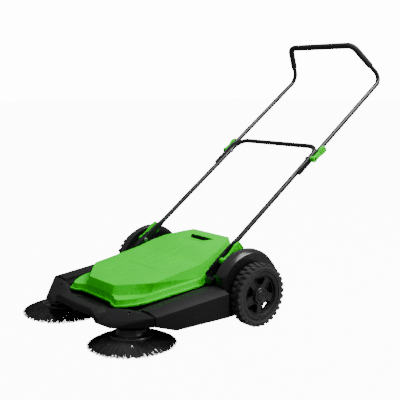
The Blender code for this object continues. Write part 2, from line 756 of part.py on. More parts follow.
def grip_pocket():
    """The cup under the grip opening, with its middle rib."""
    rim = [(x * 1.08, (y - 0.030) * 1.25 + 0.030) for x, y in GRIP_HOLE]
    low = [(x * 0.94, (y - 0.030) * 0.85 + 0.030) for x, y in GRIP_HOLE]
    cup = cut(
        hull([(x, y, crown_z(y) - LID_WALL - GAP) for x, y in rim] + [(x, y, POCKET_FLOOR) for x, y in rim]),
        hull([(x, y, 0.300) for x, y in low] + [(x, y, POCKET_FLOOR + LID_WALL) for x, y in low]),
    )
    rib = box((-0.0015, 0.0145, POCKET_FLOOR + 0.001), (0.0015, 0.0475, 0.258))
    put("grip_pocket", join(cup, rib), green_plastic())


def tub_front(wall, top_up):
    points = []
    for (x, y), (xb, yb) in (
        ((0.095, -0.458), (0.090, -0.405)),
        ((0.180, -0.440), (0.180, -0.395)),
        ((0.212, -0.385), (0.198, -0.370)),
        ((0.216, -0.182), (0.204, -0.182)),
    ):
        back = 1 if y > -0.2 else -1
        top = rim_z(y) - GAP + top_up
        points += [(s * (x - wall), y - back * wall, top) for s in (1, -1)]
        points += [(s * (xb - wall), yb - back * wall, 0.040 + wall) for s in (1, -1)]
    return hull(points)


def tub_rear(wall, top_up):
    points = []
    for x, y in ((0.205, -0.186), (0.205, -0.105), (0.170, 0.020), (0.112, 0.088)):
        top = rim_z(y) - 0.0035
        front = -1 if y < -0.15 and wall else 0
        y = y - wall if y > 0.05 else y + front * 0.006
        points += [(s * (x - wall), y, top + top_up) for s in (1, -1)]
        points += [(s * (x - wall), y, HOOD_Z + GAP + wall * 0.8) for s in (1, -1)]
    return hull(points)


def hopper_tub():
    outer = join(tub_front(0, 0), tub_rear(0, 0))
    inlet = box((-0.190, -0.192, 0.058), (0.190, -0.172, 0.104))
    put("hopper_tub", cut(outer, tub_front(0.003, 0.05), tub_rear(0.003, 0.05), inlet), black_plastic())


# ---- wheels ------------------------------------------------------------------------------------
def wheels():
    facets = 32
    tread = WHEEL_R / math.cos(math.pi / facets)
    for side, s in SIDES:
        hub = Vector((s * WHEEL_X, 0, WHEEL_R))
        out = (s, 0, 0)
        tyre = (
            (RIM_R + 0.0012, WHEEL_W - 0.001),
            (tread - 0.010, WHEEL_W),
            (tread, WHEEL_W - 0.008),
            (tread, 0.008),
            (tread - 0.010, 0.0),
            (RIM_R + 0.0012, 0.001),
        )
        ring = turned(tyre, (0, 0, 0), out, facets)
        align_flat(ring, facets)
        ring.transform(Matrix.Translation(hub))
        put(f"tyre_{side}", ring, rubber(), hub, 0.5)
        rim = (
            (HUB_BORE_R, 0.0),
            (HUB_BORE_R, WHEEL_W - 0.0085),
            (0.0215, WHEEL_W - 0.0085),
            (0.0215, WHEEL_W - 0.002),
            (HUB_R, WHEEL_W - 0.003),
            (HUB_R + 0.004, WHEEL_W - 0.010),
            (RIM_R - 0.016, WHEEL_W - 0.010),
            (RIM_R - 0.012, WHEEL_W - 0.003),
            (RIM_R, WHEEL_W - 0.003),
            (RIM_R, 0.003),
            (RIM_R - 0.010, 0.003),
            (RIM_R - 0.014, WHEEL_W - 0.024),
            (HUB_R - 0.002, WHEEL_W - 0.024),
            (HUB_R - 0.008, 0.0),
        )
        disc = turned(rim[::-1], hub, out, facets)
        windows = []
        for i in range(WINDOWS):
            a = 2 * math.pi * (i + 0.5) / WINDOWS + math.pi / 2
            points = []
            for radius, half in ((HUB_R + 0.010, 0.26), (RIM_R - 0.017, 0.36)):
                for side_turn in (-half, half):
                    y, z = radius * math.cos(a + side_turn), radius * math.sin(a + side_turn)
                    points += [hub + Vector((s * d, y, z)) for d in (0.010, WHEEL_W + 0.01)]
            windows.append(hull(points))
        put(f"wheel_rim_{side}", cut(disc, *windows), black_plastic(), hub, 0.5)
        cap = ((CENTRE_R, WHEEL_W), (0.019, WHEEL_W - 0.0005), (0.0210, WHEEL_W - 0.003))
        cap += ((0.0210, WHEEL_W - 0.008), (CENTRE_R, WHEEL_W - 0.008))
        put(f"hub_cap_{side}", turned(cap, hub, out, 24), black_plastic(), hub, 0.5)


def align_flat(mesh, facets):
    """Turns a ring about X until one of its flats faces the floor."""
    low = min(mesh.vertices, key=lambda v: v.co.z).co
    mesh.transform(Matrix.Rotation(math.pi / facets - math.atan2(low.y, -low.z), 4, "X"))


def drive_pulleys():
    """A sleeve into the housing with the belt wheels for the disc brush and, on the left, for the roller."""
    for side, s in SIDES:
        hub = Vector((s * WHEEL_X, 0, WHEEL_R))
        inner = WHEEL_X - DRIVE_X + 0.005
        profile = [(HUB_BORE_R, -0.0005), (SLEEVE_R, -0.0005)]
        if s > 0:
            step = WHEEL_X - ROLLER_DRIVE_X
            profile += [(SLEEVE_R, 0.005 - step), (ROLLER_DRIVE_R, 0.005 - step)]
            profile += [(ROLLER_DRIVE_R, -0.005 - step), (SLEEVE_R, -0.005 - step)]
        profile += [(SLEEVE_R, 0.010 - inner), (DRIVE_R, 0.010 - inner)]
        profile += [(DRIVE_R, -inner), (HUB_BORE_R, -inner)]
        put(f"drive_pulley_{side}", turned(profile, hub, (s, 0, 0), 24), black_plastic(), hub, 0.5)


# ---- brushes and belts --------------------------------------------------------------------------
def brush_axis(s):
    return Vector((s * -math.sin(BRUSH_TILT_IN), 0, math.cos(BRUSH_TILT_IN)))


def brush_foot(s):
    """Where the axis meets the plane of the bristle tips, so high that the low side clears the floor."""
    return Vector((s * BRUSH_X, BRUSH_Y, BRUSH_R * math.sin(BRUSH_TILT_IN) + 0.0006))


def brush_point(s, height):
    foot = brush_foot(s)
    return foot + brush_axis(s) * (height - foot.z)


def disc_brushes():
    rise = brush_foot(1).z
    for side, s in SIDES:
        foot = brush_foot(s)
        up = brush_axis(s)
        drum = (
            (CENTRE_R, SPINDLE_TOP - rise),
            (SPINDLE_R, SPINDLE_TOP - rise),
            (SPINDLE_R, DRUM_TOP - rise),
            (BRUSH_DRUM_R - 0.006, DRUM_TOP - rise),
            (BRUSH_DRUM_R, 0.062 - rise),
            (BRUSH_DRUM_R + 0.002, BRUSH_RING_Z + 0.003 - rise),
            (BRUSH_RING_R - 0.002, BRUSH_RING_Z + 0.003 - rise),
            (BRUSH_RING_R, BRUSH_RING_Z - rise),
            (BRUSH_RING_R, BRUSH_RING_Z - 0.003 - rise),
            (CENTRE_R, BRUSH_RING_Z - 0.003 - rise),
        )
        put(f"brush_disc_{side}", turned(drum, foot, up, 28), black_plastic(), foot, 0.5)
        tuft = (
            (0.050, BRUSH_RING_Z - 0.0035 - rise),
            (BRUSH_RING_R - 0.001, BRUSH_RING_Z - 0.0035 - rise),
            (BRUSH_R - 0.045, 0.026 - rise + 0.004),
            (BRUSH_R, 0.0042),
            (BRUSH_R - 0.004, 0.0),
            (0.100, 0.012),
        )
        put(f"brush_bristles_{side}", turned(tuft, foot, up, 40), bristle(), foot, 0.5)
        belt_wheel = ((SPINDLE_R + GAP, 0.005), (SPINDLE_PULLEY_R, 0.005), (SPINDLE_PULLEY_R, -0.005))
        belt_wheel += ((SPINDLE_R + GAP, -0.005),)
        place = brush_point(s, SPINDLE_PULLEY_Z)
        put(f"spindle_pulley_{side}", turned(belt_wheel, place, up, 20), black_plastic(), place, 0.5)
        bore = SPINDLE_R + CLEAR
        collar = ((bore, 0.0035), (BEARING_R, 0.0035), (BEARING_R, -0.0035), (bore, -0.0035))
        place = brush_point(s, BEARING_Z)
        put(f"spindle_bearing_{side}", turned(collar, place, up, 16), black_plastic(), place, 0.5)


def roller_brush():
    reach = CHAMBER_X - 0.004
    shaft = ROLLER_SHAFT_R
    core = [(CENTRE_R, ROLLER_DRIVE_X + 0.007), (shaft, ROLLER_DRIVE_X + 0.007), (shaft, ROLLER_HALF)]
    core += [(ROLLER_CORE_R, ROLLER_HALF), (ROLLER_CORE_R, -ROLLER_HALF), (shaft, -ROLLER_HALF)]
    core += [(shaft, -reach - 0.014), (CENTRE_R, -reach - 0.014)]
    place = Vector((0, ROLLER_Y, ROLLER_Z))
    put("roller_core", turned(core, place, (1, 0, 0), 20), black_plastic(), place, 0.5)
    inner, half = ROLLER_CORE_R + GAP, ROLLER_HALF - 0.004
    sleeve = ((inner, half), (ROLLER_R, half), (ROLLER_R, -half), (inner, -half))
    put("roller_bristles", turned(sleeve, place, (1, 0, 0), 24), bristle(), place, 0.5)
    x = ROLLER_DRIVE_X
    bore = ROLLER_SHAFT_R + GAP
    pulley = [(bore, x + 0.005), (ROLLER_PULLEY_R, x + 0.005)]
    pulley += [(ROLLER_PULLEY_R, x - 0.005), (bore, x - 0.005)]
    put("roller_pulley", turned(pulley, place, (1, 0, 0), 16), black_plastic(), place, 0.5)


def roller_belt():
    """A crossed round belt, so that the roller turns against the wheels. The runs pass side by side."""
    big, small = Vector((0, WHEEL_R)), Vector((ROLLER_Y, ROLLER_Z))
    seat = BELT_R + 0.0007
    r1, r2 = ROLLER_DRIVE_R + seat, ROLLER_PULLEY_R + seat
    line = small - big
    heading = math.atan2(line.y, line.x)
    open_angle = math.acos((r1 + r2) / line.length)
    path = []
    for centre, radius, start, sweep, steps in (
        (big, r1, heading + open_angle, 2 * math.pi - 2 * open_angle, 18),
        (small, r2, heading + math.pi - open_angle, -(2 * math.pi - 2 * open_angle), 9),
    ):
        for i in range(steps + 1):
            t = i / steps
            a = start + sweep * t
            shift = (BELT_R + 0.0004) * (1 - 2 * t) * (1 if centre is big else -1)
            y, z = centre.x + radius * math.cos(a), centre.y + radius * math.sin(a)
            path.append((ROLLER_DRIVE_X + shift, y, z))
    put("roller_belt", tube(path, BELT_R, 1, cyclic=True), rubber())


def side_belts():
    """Round belts from the wheels' pulleys forward to the disc brushes, turned a quarter on the way."""
    seat = BELT_R + 0.0007
    r1, r2 = DRIVE_R + seat, SPINDLE_PULLEY_R + seat
    for side, s in SIDES:
        path = [(DRIVE_X, r1 * math.cos(a), WHEEL_R + r1 * math.sin(a)) for a in quarter_turns(-90, 90, 10)]
        z = SPINDLE_PULLEY_Z
        path.append((DRIVE_X, BRUSH_Y + 0.095, z + 0.0045))
        centre = brush_point(1, z)
        for a in quarter_turns(-14, -220, 12):
            path.append((centre.x + r2 * math.cos(a), centre.y + r2 * math.sin(a), z))
        path.append((*GUIDE, z))
        path = [(s * x, y, h) for x, y, h in path]
        put(f"side_belt_{side}", tube(path, BELT_R, 1, cyclic=True), rubber())


def quarter_turns(start, end, steps):
    return [math.radians(start + (end - start) * i / steps) for i in range(steps + 1)]


def centre_on_floor():
    """Moves the whole machine so that the middle of its length stands over the origin."""
    handle_reach = max(p.y for p in rounded(handle_path(0), BEND_R)) + TUBE_R
    BASE.location.y = (FRONT_REACH - handle_reach) / 2


def main():
    chassis_body()
    pod_covers()
    cover_screws()
    front_bar()
    front_grille()
    axle_and_bushes()
    roller_bearings()
    dust_flap()
    brackets()
    for side, s in SIDES:
        clamp_bolt(f"base_bolt_{side}", s, 0.0, LEG_X - LUG_HALF - GAP, BASE_ARM_X)
        clamp_bolt(f"mid_bolt_{side}", s, MID_AT, LEG_X - TUBE_R - GAP, MID_ARM_X + 0.0028)
        base_x = (PLATE_X + PLATE_T + 0.0005, BASE_ARM_X, BASE_ARM_X + 0.0115)
        lever(f"base_lever_{side}", s, 0.0, *base_x, reach=0.100, fall=0.034)
        mid_x = (LAP_X + LAP_HALF + 0.0005, MID_ARM_X, MID_ARM_X + 0.0128)
        lever(f"mid_lever_{side}", s, MID_AT, *mid_x, reach=0.078, fall=0.018)
    lower_frame()
    upper_handle()
    foam_grip()
    hopper_lid()
    grip_pocket()
    hopper_tub()
    wheels()
    drive_pulleys()
    disc_brushes()
    roller_brush()
    roller_belt()
    side_belts()
    centre_on_floor()


main()
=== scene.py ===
"""Walk behind sweeper: the visible pieces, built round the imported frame.

Metres, +Z up, travel towards -Y, the operator's left at +X. Pieces are drawn from the wheel axle's line in Y
and the floor in Z, and moved with the frame's axle when they are finished.
"""

import math
import random

import bmesh
import bpy
from bpy.props import FloatProperty, FloatVectorProperty, IntProperty, PointerProperty
from mathutils import Matrix, Vector


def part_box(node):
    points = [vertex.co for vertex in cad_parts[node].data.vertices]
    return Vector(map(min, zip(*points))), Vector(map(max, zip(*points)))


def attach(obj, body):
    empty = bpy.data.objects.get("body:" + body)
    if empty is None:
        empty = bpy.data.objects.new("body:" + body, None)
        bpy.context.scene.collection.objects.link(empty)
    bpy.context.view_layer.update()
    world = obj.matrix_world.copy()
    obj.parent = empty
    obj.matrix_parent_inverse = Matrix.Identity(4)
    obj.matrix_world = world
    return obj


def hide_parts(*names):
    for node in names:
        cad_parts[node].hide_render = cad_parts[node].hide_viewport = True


bl_info = {
    "name": "Walk behind sweeper",
    "version": (1, 0, 0),
    "blender": (4, 5, 0),
    "location": "View3D > Sidebar > Sweeper",
    "description": "Builds the visible pieces of a push sweeper with a folding handle",
    "category": "Add Mesh",
}

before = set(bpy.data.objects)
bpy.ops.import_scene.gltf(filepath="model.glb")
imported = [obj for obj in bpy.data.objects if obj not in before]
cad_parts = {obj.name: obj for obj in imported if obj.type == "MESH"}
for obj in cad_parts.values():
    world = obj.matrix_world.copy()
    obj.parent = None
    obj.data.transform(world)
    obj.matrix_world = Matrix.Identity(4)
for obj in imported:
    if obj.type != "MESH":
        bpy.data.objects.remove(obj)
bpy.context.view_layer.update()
SIDES = (("left", 1), ("right", -1))


def middle(node):
    low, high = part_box(node)
    return (low + high) / 2


def span(node):
    low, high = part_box(node)
    return high - low


AXLE = middle("wheel_axle")
SHIFT = Vector((0, AXLE.y, 0))
TYRE = span("tyre_left")
WHEEL_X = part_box("tyre_left")[0].x
BOLT = middle("base_bolt_left") - SHIFT
MID_BOLT = middle("mid_bolt_left") - SHIFT
TILT = math.atan2(MID_BOLT.z - BOLT.z, MID_BOLT.y - BOLT.y)
MID_AT = math.hypot(MID_BOLT.z - BOLT.z, MID_BOLT.y - BOLT.y)
BRUSH = middle("brush_bristles_left") - SHIFT
LOWER_X = 0.241
UPPER_X = 0.2545
LAP_X = 0.25435


# ---- sizes and colours -------------------------------------------------------------------------
class WheelSizes(bpy.types.PropertyGroup):
    radius: FloatProperty(name="Tyre radius", description="Over the tread", default=TYRE.z / 2, unit="LENGTH")
    width: FloatProperty(name="Tyre width", description="Across the tread", default=TYRE.x, unit="LENGTH")
    rim: FloatProperty(name="Rim radius", description="Where the tyre sits", default=0.092, unit="LENGTH")
    windows: IntProperty(name="Windows", description="Openings between spokes", default=5, min=3)
    lugs: IntProperty(name="Tread blocks", description="Blocks round each shoulder", default=30, min=8)


class BrushSizes(bpy.types.PropertyGroup):
    radius: FloatProperty(
        name="Brush radius", description="To the bristle tips", default=span("brush_bristles_left").y / 2,
        unit="LENGTH",
    )
    tufts: IntProperty(name="Tufts", description="Tufts in the outer row", default=56, min=8)
    strands: IntProperty(name="Strands", description="Filaments in a tuft", default=26, min=3)


class HandleSizes(bpy.types.PropertyGroup):
    tube: FloatProperty(name="Tube radius", description="Steel tube", default=0.0097, unit="LENGTH")
    grip: FloatProperty(name="Grip radius", description="Foam sleeve", default=0.0138, unit="LENGTH")


class BodySizes(bpy.types.PropertyGroup):
    edge: FloatProperty(
        name="Edge rounding", description="Radius of moulded edges", default=0.0022, unit="LENGTH",
    )


class Colours(bpy.types.PropertyGroup):
    lime: FloatVectorProperty(
        name="Lime", description="Lid and levers", subtype="COLOR", default=(0.004, 0.72, 0.002),
    )
    body: FloatVectorProperty(
        name="Body", description="Grey-black mouldings", subtype="COLOR", default=(0.0135, 0.013, 0.0145),
    )
    black: FloatVectorProperty(
        name="Black", description="Black plastic and paint", subtype="COLOR", default=(0.008, 0.008, 0.009),
    )
    rubber: FloatVectorProperty(
        name="Rubber", description="Tyres and belts", subtype="COLOR", default=(0.018, 0.018, 0.019),
    )
    bristle: FloatVectorProperty(
        name="Bristle", description="Brush filaments", subtype="COLOR", default=(0.01, 0.01, 0.011),
    )
    floor: FloatVectorProperty(
        name="Floor", description="Studio floor", subtype="COLOR", default=(0.25, 0.25, 0.25),
    )


# ---- tools for pieces --------------------------------------------------------------------------
def ready():
    """Object mode with nothing selected, so that an operator acts on the new piece alone."""
    if bpy.context.object and bpy.context.object.mode != "OBJECT":
        bpy.ops.object.mode_set(mode="OBJECT")
    bpy.ops.object.select_all(action="DESELECT")


def pick(*objects):
    ready()
    for obj in objects:
        obj.select_set(True)
    bpy.context.view_layer.objects.active = objects[0]


def named(name):
    obj = bpy.context.object
    obj.name = name
    obj.data.name = name
    return obj


def drawn(name, rings):
    """A piece drawn up ring by ring: a circle laid on the first ring, then extruded onto each next one."""
    ready()
    bpy.ops.mesh.primitive_circle_add(vertices=len(rings[0]), fill_type="NGON")
    obj = named(name)
    rings = [[Vector(p) for p in ring] for ring in rings]
    for vert, point in zip(obj.data.vertices, rings[0]):
        vert.co = point
    bpy.ops.object.mode_set(mode="EDIT")
    bpy.ops.mesh.select_all(action="SELECT")
    for ring, following in zip(rings, rings[1:]):
        bpy.ops.mesh.extrude_region_move()
        work = bmesh.from_edit_mesh(obj.data)
        for vert in work.verts:
            if vert.select:
                nearest = min(range(len(ring)), key=lambda i: (ring[i] - vert.co).length_squared)
                vert.co = following[nearest]
        bmesh.update_edit_mesh(obj.data)
    bpy.ops.mesh.select_all(action="SELECT")
    bpy.ops.mesh.remove_doubles(threshold=0.00001)
    bpy.ops.mesh.normals_make_consistent(inside=False)
    bpy.ops.object.mode_set(mode="OBJECT")
    return obj


def spun(name, profile, centre=(0, 0, 0), axis=(0, 0, 1), steps=64):
    """A turned piece from a closed profile of (radius, height along the axis)."""
    ready()
    bpy.ops.mesh.primitive_circle_add(vertices=len(profile), fill_type="NOTHING")
    obj = named(name)
    for vert, (radius, height) in zip(obj.data.vertices, profile):
        vert.co = (radius, 0, height)
    bpy.ops.object.mode_set(mode="EDIT")
    bpy.ops.mesh.select_all(action="SELECT")
    bpy.ops.mesh.spin(steps=steps, angle=2 * math.pi, center=(0, 0, 0), axis=(0, 0, 1))
    bpy.ops.mesh.select_all(action="SELECT")
    bpy.ops.mesh.remove_doubles(threshold=0.00001)
    bpy.ops.mesh.dissolve_degenerate(threshold=0.000005)
    bpy.ops.mesh.normals_make_consistent(inside=False)
    bpy.ops.object.mode_set(mode="OBJECT")
    turn = Vector((0, 0, 1)).rotation_difference(Vector(axis)).to_matrix().to_4x4()
    obj.data.transform(Matrix.Translation(centre) @ turn)
    return obj


def box(name, low, high):
    ready()
    low, high = Vector(low), Vector(high)
    bpy.ops.mesh.primitive_cube_add(size=1)
    obj = named(name)
    obj.data.transform(Matrix.Translation((low + high) / 2) @ Matrix.Diagonal((*(high - low), 1)))
    return obj


def rod(name, start, end, radius, sides=32):
    ready()
    start, end = Vector(start), Vector(end)
    bpy.ops.mesh.primitive_cylinder_add(vertices=sides, radius=radius, depth=(end - start).length)
    obj = named(name)
    turn = Vector((0, 0, 1)).rotation_difference(end - start).to_matrix().to_4x4()
    obj.data.transform(Matrix.Translation((start + end) / 2) @ turn)
    return obj


def apply(obj, kind, **settings):
    """Adds a modifier and applies it."""
    pick(obj)
    modifier = obj.modifiers.new(kind.lower(), kind)
    for key, value in settings.items():
        setattr(modifier, key, value)
    bpy.ops.object.modifier_apply(modifier=modifier.name)
    return obj


def soften(obj, width, segments=2, angle=28):
    return apply(
        obj, "BEVEL", width=width, segments=segments, limit_method="ANGLE", angle_limit=math.radians(angle),
        harden_normals=False, use_clamp_overlap=True,
    )


def carve(obj, *cutters):
    for cutter in cutters:
        apply(obj, "BOOLEAN", operation="DIFFERENCE", object=cutter, solver="EXACT")
        bpy.data.objects.remove(cutter, do_unlink=True)
    return obj


def weld_on(obj, *others):
    for other in others:
        apply(obj, "BOOLEAN", operation="UNION", object=other, solver="EXACT")
        bpy.data.objects.remove(other, do_unlink=True)
    return obj


def gather(name, objects):
    """Several loose shapes as one piece."""
    pick(*objects)
    if len(objects) > 1:
        bpy.ops.object.join()
    return named(name)


def twin(obj, matrix, name=None):
    """A copy with its own mesh, moved by a matrix and turned right side out if the matrix mirrors."""
    other = obj.copy()
    other.data = obj.data.copy()
    bpy.context.scene.collection.objects.link(other)
    other.data.transform(matrix)
    if matrix.determinant() < 0:
        other.data.flip_normals()
    if name:
        other.name = name
        other.data.name = name
    return other


MIRROR = Matrix.Diagonal((-1, 1, 1, 1))


def piece(obj, body, material, replaces=(), smooth=35):
    """The finishing of a piece: shading, its material, its place, and what it rides on and stands for."""
    pick(obj)
    bpy.ops.object.shade_smooth_by_angle(angle=math.radians(smooth))
    for modifier in list(obj.modifiers):
        bpy.ops.object.modifier_apply(modifier=modifier.name)
    obj.data.materials.clear()
    obj.data.materials.append(material)
    obj.data.transform(Matrix.Translation(SHIFT))
    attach(obj, body)
    if replaces:
        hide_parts(*replaces)
    return obj


def both_sides(obj, name, body, material, replaces=(), smooth=35):
    """A left piece and its mirrored right one. In the names, * stands for the side."""
    other = twin(obj, MIRROR, name.replace("*", "right"))
    obj.name = obj.data.name = name.replace("*", "left")
    for made, (side, _) in zip((obj, other), SIDES):
        stands_for = [node.replace("*", side) for node in replaces]
        piece(made, body.replace("*", side), material, stands_for, smooth)


def along(distance, rise=0.0, x=0.0):
    """A point beside the handle's line, from its lower pivot."""
    line = Vector((0, math.cos(TILT), math.sin(TILT)))
    up = Vector((0, -math.sin(TILT), math.cos(TILT)))
    return Vector((x, BOLT.y, BOLT.z)) + line * distance + up * rise


def rounded(points, radius, steps=10):
    """A path with its inner corners turned into arcs."""
    points = [Vector(p) for p in points]
    path = [points[0]]
    for before, corner, after in zip(points, points[1:], points[2:]):
        a, b = (before - corner).normalized(), (after - corner).normalized()
        half = a.angle(b) / 2
        reach = radius / math.tan(half)
        centre = corner + (a + b).normalized() * (radius / math.sin(half))
        first, last = corner + a * reach - centre, corner + b * reach - centre
        sweep = first.angle(last)
        for i in range(steps + 1):
            t = i / steps
            path.append(
                centre + (first * math.sin((1 - t) * sweep) + last * math.sin(t * sweep)) / math.sin(sweep)
            )
    path.append(points[-1])
    return path


def swept(name, path, section):
    """A solid along a path. section(i, length) gives the outline there as (across, up) pairs."""
    path = [Vector(p) for p in path]
    rings = []
    run = 0.0
    across = Vector((1, 0, 0))
    for i, point in enumerate(path):
        before, after = path[max(i - 1, 0)], path[min(i + 1, len(path) - 1)]
        heading = (after - before).normalized()
        across = (across - heading * across.dot(heading)).normalized()
        up = heading.cross(across)
        if i:
            run += (point - path[i - 1]).length
        rings.append([point + across * a + up * b for a, b in section(i, run)])
    return drawn(name, rings)


def circle(radius, sides=24):
    turns = [2 * math.pi * i / sides for i in range(sides)]
    return [(radius * math.cos(t), radius * math.sin(t)) for t in turns]


# ---- materials ---------------------------------------------------------------------------------
def node(tree, kind, *feeds, **values):
    """A shader node. feeds go to its inputs in order, and values to its inputs or settings by name."""
    made = tree.nodes.new(kind)
    for key, value in (*values.items(), *enumerate(feeds)):
        if isinstance(key, str) and key not in made.inputs:
            setattr(made, key, value)
        elif isinstance(value, bpy.types.NodeSocket):
            tree.links.new(value, made.inputs[key])
        elif value is not None:
            made.inputs[key].default_value = value
    return made


def group(name, inputs, outputs):
    """An empty shader group with its sockets. Returns the tree, its input node and its output node."""
    tree = bpy.data.node_groups.new(name, "ShaderNodeTree")
    for label, kind, default in inputs:
        socket = tree.interface.new_socket(label, in_out="INPUT", socket_type=kind)
        if default is not None:
            socket.default_value = default
    for label, kind in outputs:
        tree.interface.new_socket(label, in_out="OUTPUT", socket_type=kind)
    return tree, tree.nodes.new("NodeGroupInput"), tree.nodes.new("NodeGroupOutput")


def moulded_group():
    """Moulding grain, slow mottling of colour and gloss, fine scratches, and dust that gathers low down."""
    name = "moulded_surface"
    if name in bpy.data.node_groups:
        return bpy.data.node_groups[name]
    tree, given, out = group(
        name,
        (
            ("Colour", "NodeSocketColor", None),
            ("Grain Scale", "NodeSocketFloat", 900.0),
            ("Grain Depth", "NodeSocketFloat", 0.15),
            ("Roughness", "NodeSocketFloat", 0.45),
            ("Mottle", "NodeSocketFloat", 0.08),
            ("Dust", "NodeSocketFloat", 0.1),
        ),
        (("Colour", "NodeSocketColor"), ("Roughness", "NodeSocketFloat"), ("Normal", "NodeSocketVector")),
    )
    link = tree.links.new
    place = node(tree, "ShaderNodeTexCoord").outputs["Object"]

    def noise(scale, detail, at=place):
        return node(tree, "ShaderNodeTexNoise", Vector=at, Scale=scale, Detail=detail).outputs["Fac"]

    def between(value, low, high, **ends):
        span = {"Value": value, "From Min": low, "From Max": high, **ends}
        return node(tree, "ShaderNodeMapRange", **span).outputs["Result"]

    def sum_of(operation, *terms):
        return node(tree, "ShaderNodeMath", *terms, operation=operation).outputs["Value"]

    grain = noise(given.outputs["Grain Scale"], 2.0)
    slow = noise(9.0, 3.0)
    stretch = node(tree, "ShaderNodeMapping", Vector=place, Scale=(1.0, 14.0, 6.0))
    scratch = between(noise(60.0, 4.0, stretch.outputs["Vector"]), 0.66, 0.74)
    swing = between(slow, 0.3, 0.7, **{"To Min": -1.0, "To Max": 1.0})
    value = sum_of("ADD", sum_of("MULTIPLY", swing, given.outputs["Mottle"]), 1.0)
    toned = node(tree, "ShaderNodeHueSaturation", Color=given.outputs["Colour"], Value=value)
    parts = node(tree, "ShaderNodeSeparateXYZ", Vector=place)
    low = between(parts.outputs["Z"], 0.22, 0.0)
    speckle = between(noise(240.0, 3.0), 0.42, 0.72)
    dust = sum_of("MULTIPLY", sum_of("MULTIPLY", low, speckle), given.outputs["Dust"])
    mixed = node(tree, "ShaderNodeMix", data_type="RGBA")
    mixed.inputs[7].default_value = (0.21, 0.2, 0.18, 1)
    link(dust, mixed.inputs[0])
    link(toned.outputs["Color"], mixed.inputs[6])
    link(mixed.outputs[2], out.inputs["Colour"])
    rough = sum_of("MULTIPLY_ADD", swing, 0.05, given.outputs["Roughness"])
    link(sum_of("MULTIPLY_ADD", scratch, 0.06, rough), out.inputs["Roughness"])
    bump = node(tree, "ShaderNodeBump", Distance=0.0006, Strength=given.outputs["Grain Depth"], Height=grain)
    link(bump.outputs["Normal"], out.inputs["Normal"])
    return tree


def finish(name, colour, roughness, grain, depth, mottle, dust, metallic=0.0, coat=0.0, specular=0.5):
    """A material of this object: one shader fed by the moulded surface's colour, gloss and grain."""
    found = bpy.data.materials.get(name)
    if found:
        return found
    made = bpy.data.materials.new(name)
    made.use_nodes = True
    tree = made.node_tree
    shader = tree.nodes["Principled BSDF"]
    shader.inputs["Metallic"].default_value = metallic
    shader.inputs["Coat Weight"].default_value = coat
    shader.inputs["Coat Roughness"].default_value = 0.12
    shader.inputs["Specular IOR Level"].default_value = specular
    surface = tree.nodes.new("ShaderNodeGroup")
    surface.node_tree = moulded_group()
    for label, value in (
        ("Colour", (*colour, 1)), ("Grain Scale", grain), ("Grain Depth", depth), ("Roughness", roughness),
        ("Mottle", mottle), ("Dust", dust),
    ):
        surface.inputs[label].default_value = value
    tree.links.new(surface.outputs["Colour"], shader.inputs["Base Color"])
    tree.links.new(surface.outputs["Roughness"], shader.inputs["Roughness"])
    tree.links.new(surface.outputs["Normal"], shader.inputs["Normal"])
    return made


def colours():
    return bpy.context.scene.sweeper_colours


def lime_plastic():
    return finish("lime_moulding", colours().lime, 0.48, 1400, 0.08, 0.04, 0.0, specular=0.12)


def body_plastic():
    return finish("charcoal_moulding", colours().body, 0.55, 1100, 0.25, 0.1, 0.02, specular=0.12)


def black_plastic():
    return finish("black_moulding", colours().black, 0.36, 1200, 0.22, 0.1, 0.12)


def fender_plastic():
    return finish("gloss_moulding", colours().black, 0.25, 1300, 0.1, 0.08, 0.05)


def gloss_paint():
    return finish("gloss_tube_paint", colours().black, 0.3, 700, 0.04, 0.06, 0.0, coat=0.08, specular=0.3)


def tyre_rubber():
    return finish("tread_rubber", colours().rubber, 0.66, 800, 0.35, 0.14, 0.25)


def soft_rubber():
    return finish("belt_rubber", colours().rubber, 0.6, 900, 0.25, 0.12, 0.15)


def bristle_plastic():
    return finish("brush_filament", colours().bristle, 0.24, 500, 0.05, 0.35, 0.04)


def zinc_steel():
    return finish("bright_zinc", (0.6, 0.61, 0.62), 0.3, 500, 0.12, 0.06, 0.0, metallic=1.0)


def foam_rubber():
    """Closed-cell foam: small pores over a soft skin."""
    found = bpy.data.materials.get("closed_cell_foam")
    if found:
        return found
    made = finish(
        "closed_cell_foam", (0.014, 0.014, 0.015), 0.74, grain=420, depth=0.35, mottle=0.15, dust=0.0,
        specular=0.35,
    )
    tree = made.node_tree
    shader = tree.nodes["Principled BSDF"]
    place = node(tree, "ShaderNodeTexCoord").outputs["Object"]
    pores = node(tree, "ShaderNodeTexVoronoi", Scale=620.0, Vector=place).outputs["Distance"]
    skin = next(n for n in tree.nodes if n.type == "GROUP").outputs["Normal"]
    bump = node(tree, "ShaderNodeBump", Distance=0.0008, Strength=0.35, Height=pores, Normal=skin)
    tree.links.new(bump.outputs["Normal"], shader.inputs["Normal"])
    return made


# ---- wheels ------------------------------------------------------------------------------------
HUB = Vector((WHEEL_X, 0, AXLE.z))
OUTWARD = (1, 0, 0)


def wedge(name, angle, inner, outer, half_inner, half_outer, low, high):
    """A block between two radii of the wheel, from low to high along X."""
    points = []
    for radius, half in (
        (inner, -half_inner), (outer, -half_outer), (outer, half_outer), (inner, half_inner),
    ):
        a = angle + half
        points.append(Vector((0, radius * math.cos(a), radius * math.sin(a))))
    return drawn(name, [[HUB + p + Vector((x, 0, 0)) for p in points] for x in (low, high)])


